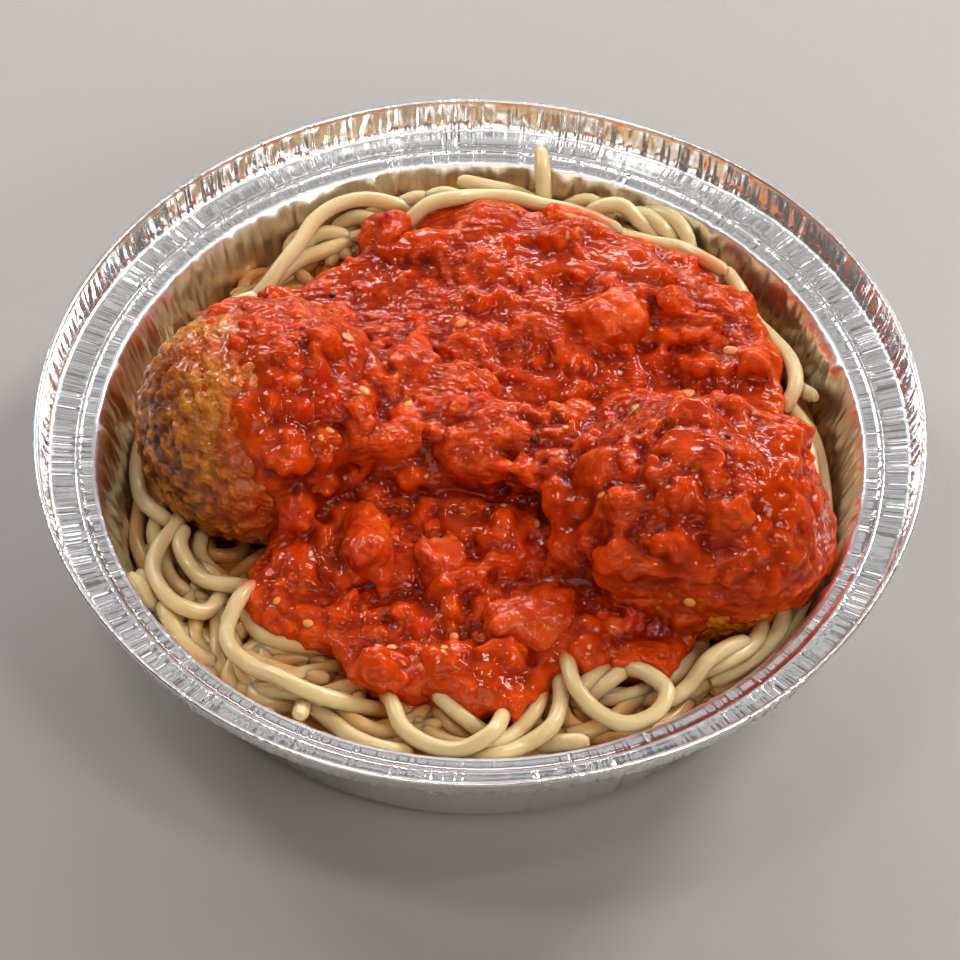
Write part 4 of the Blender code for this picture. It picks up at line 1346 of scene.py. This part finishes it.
# %% Tomato pieces
tomato_look, tree, shader = new_material("tomato flesh")
place = add(tree, "ShaderNodeTexCoord").outputs["Object"]
colour = mixed(spread(noise_at(4.0), 0.3, 0.7), "#AE2C05", "#DA5E1E")
colour = mixed(spread(noise_at(1.6, 2.0), 0.56, 0.72, 0.0, 0.5), colour, "#E07A44")
bump = add(tree, "ShaderNodeBump", {"Height": noise_at(1.0), "Strength": 0.6, "Distance": 0.0008})
tree.links.new(colour, shader.inputs["Base Color"])
tree.links.new(bump.outputs[0], shader.inputs["Normal"])
set_values(shader, {
    "Roughness": 0.17, "IOR": 1.37, "Subsurface Weight": 0.4, "Subsurface Radius": (1.0, 0.26, 0.08),
    "Subsurface Scale": 0.0024,
})


def tomato_piece(name, centre, size, turn, lean, seed):
    """A torn block of tomato: a rounded block, corners cut away, its skin uneven."""
    half = np.array(size) / 2 + 0.4
    reach = max(half) + 1.5
    axes = [np.arange(-reach, reach, 0.42)] * 3
    x, y, z = np.meshgrid(*axes, indexing="ij", sparse=True)
    pose = Euler((math.radians(lean), 0, math.radians(turn))).to_matrix()
    body = block_distance(x, y, z, half, pose, 4.6)
    rng = np.random.default_rng(seed)
    for _ in range(5):
        way = rng.normal(size=3)
        way /= np.linalg.norm(way)
        cut_at = rng.uniform(0.78, 1.0) * np.linalg.norm(half * way) * 1.1
        body = cut_to(body, cut_at - (x * way[0] + y * way[1] + z * way[2]), 1.4)
    body = body + 0.45 * soft_noise(3.0, seed, axes) + 0.22 * (np.abs(soft_noise(1.5, seed + 50, axes)) - 0.8)
    body[[0, -1]] = body[:, [0, -1]] = body[:, :, [0, -1]] = -1.0
    skin, quads = surface_net(body, axes)
    return make_object(name, skin + np.array(centre), faces=quads)


for number, (centre, size, turn, lean) in enumerate(CHUNKS, 1):
    piece = tomato_piece(f"tomato_piece_{number}", centre, size, turn, lean, number)
    piece.data.materials.append(tomato_look)
    finish_piece(piece, "tomato", f"tomato_chunk_{number}")

# %% [markdown]
# ## Seeds, onion and pepper
# Tomato seeds are flat drops about 3 mm long in a clear jelly, ochre yellow. Between them
# lie bits of soft onion and a few grains of black pepper. All lie flat on the sauce's skin.
# A Geometry Nodes tree puts one body on each point of a small cloud, turned to the skin
# and spun by chance. The cloud holds those that stand out, and a seeded scatter of others.
# Most places of those that stand out, like many centres of the sauce's lumps, were worked
# out by a program as well.

# %% Seeds, onion and pepper
def cloud(name, places, extra, seed):
    """Points on the sauce's skin, some given and some by chance, each with the skin's normal."""
    rng = np.random.default_rng(seed)
    places = list(places)
    while extra:
        x, y = rng.uniform(-60, 72), rng.uniform(-64, 68)
        if inside_outline(x, y) > 3 and (x > -38 or abs(y) > 30):
            places.append((x, y))
            extra -= 1
    i = np.array([(x - axis_x[0]) / STEP for x, _ in places]).round().astype(int)
    j = np.array([(y - axis_y[0]) / STEP for _, y in places]).round().astype(int)
    heights = blur(top, 3)
    slope_x, slope_y = np.gradient(heights, STEP)
    lean = np.stack([-slope_x[i, j], -slope_y[i, j], np.ones(len(i))], axis=1)
    obj = make_object(name, np.column_stack([np.array(places, float), heights[i, j]]))
    give(obj, "skin_normal", lean / np.linalg.norm(lean, axis=1)[:, None])
    return obj


tree, given = new_nodes(
    "Lay on skin", Length="Float", Width="Float", Thickness="Float", Seed="Int", Look="Material"
)
points_in = add(tree, "GeometryNodeMeshToPoints", {"Mesh": given.outputs["Geometry"]})
body = add(tree, "GeometryNodeMeshIcoSphere", {"Radius": 0.5, "Subdivisions": 3})
size = add(
    tree, "ShaderNodeCombineXYZ",
    {0: given.outputs["Length"], 1: given.outputs["Width"], 2: given.outputs["Thickness"]},
)
body = add(tree, "GeometryNodeTransform", {"Geometry": body, "Scale": size})
normal = add(tree, "GeometryNodeInputNamedAttribute", {"Name": "skin_normal"}, data_type="FLOAT_VECTOR")
upright = add(tree, "FunctionNodeAlignRotationToVector", {"Vector": normal}, axis="Z")
spin = {2: 0.0, 3: 2 * math.pi, "Seed": given.outputs["Seed"]}
spin = add(tree, "FunctionNodeRandomValue", spin, data_type="FLOAT")
spin = add(tree, "FunctionNodeAxisAngleToRotation", {"Axis": (0.0, 0.0, 1.0), "Angle": spin.outputs[1]})
pose = {"Rotation": upright, "Rotate By": spin}
pose = add(tree, "FunctionNodeRotateRotation", pose, rotation_space="LOCAL")
swing = add(tree, "FunctionNodeRandomValue", {2: 0.65, 3: 1.15, "Seed": 7}, data_type="FLOAT")
laid = add(
    tree, "GeometryNodeInstanceOnPoints",
    {"Points": points_in, "Instance": body, "Rotation": pose, "Scale": swing.outputs[1]},
)
close_nodes(tree, laid, given.outputs["Look"])
lay_tree = tree

SMALL = {
    # name: (known places, how many more, length, width, thickness in mm, colour, roughness)
    "tomato_seeds": (
        [(-14.4, 0.6), (-29.8, -11.4), (5.4, -19.7), (41.0, -6.7), (42.3, -45.0), (17.5, -7.7),
         (-39.7, -40.4), (-33.2, -45.6), (-31.5, -13.5)],
        8, 2.3, 1.8, 0.9, "#D99A50", 0.25,
    ),
    "onion_bits": (
        [(-27.0, 12.0), (30.0, 2.0), (-4.0, 30.0), (12.0, -24.0)],
        4, 4.0, 2.6, 1.2, "#D98A50", 0.28,
    ),
    "pepper_specks": ([(11.1, -10.0), (49.5, -18.2)], 3, 1.7, 1.1, 0.9, "#1A1210", 0.4),
}
for seed, (name, kind) in enumerate(SMALL.items(), 20):
    places, extra, length, width, thickness, hex_colour, rough = kind
    look, tree, shader = new_material(name.replace("_", " "))
    set_values(shader, {
        "Base Color": linear(hex_colour), "Roughness": rough,
        "Subsurface Weight": 0.3 if rough < 0.3 else 0.0,  # pepper lets no light in
        "Subsurface Radius": (1.0, 0.6, 0.3), "Subsurface Scale": 0.001,
    })
    piece = cloud(name, places, extra, seed)
    run_nodes(
        piece, lay_tree, Length=length * MM, Width=width * MM, Thickness=thickness * MM, Seed=seed, Look=look
    )
    finish_piece(piece, "tomato")

# %% [markdown]
# ## Last update
# The scene is brought up to date once more.

# %% Last update
bpy.context.view_layer.update()
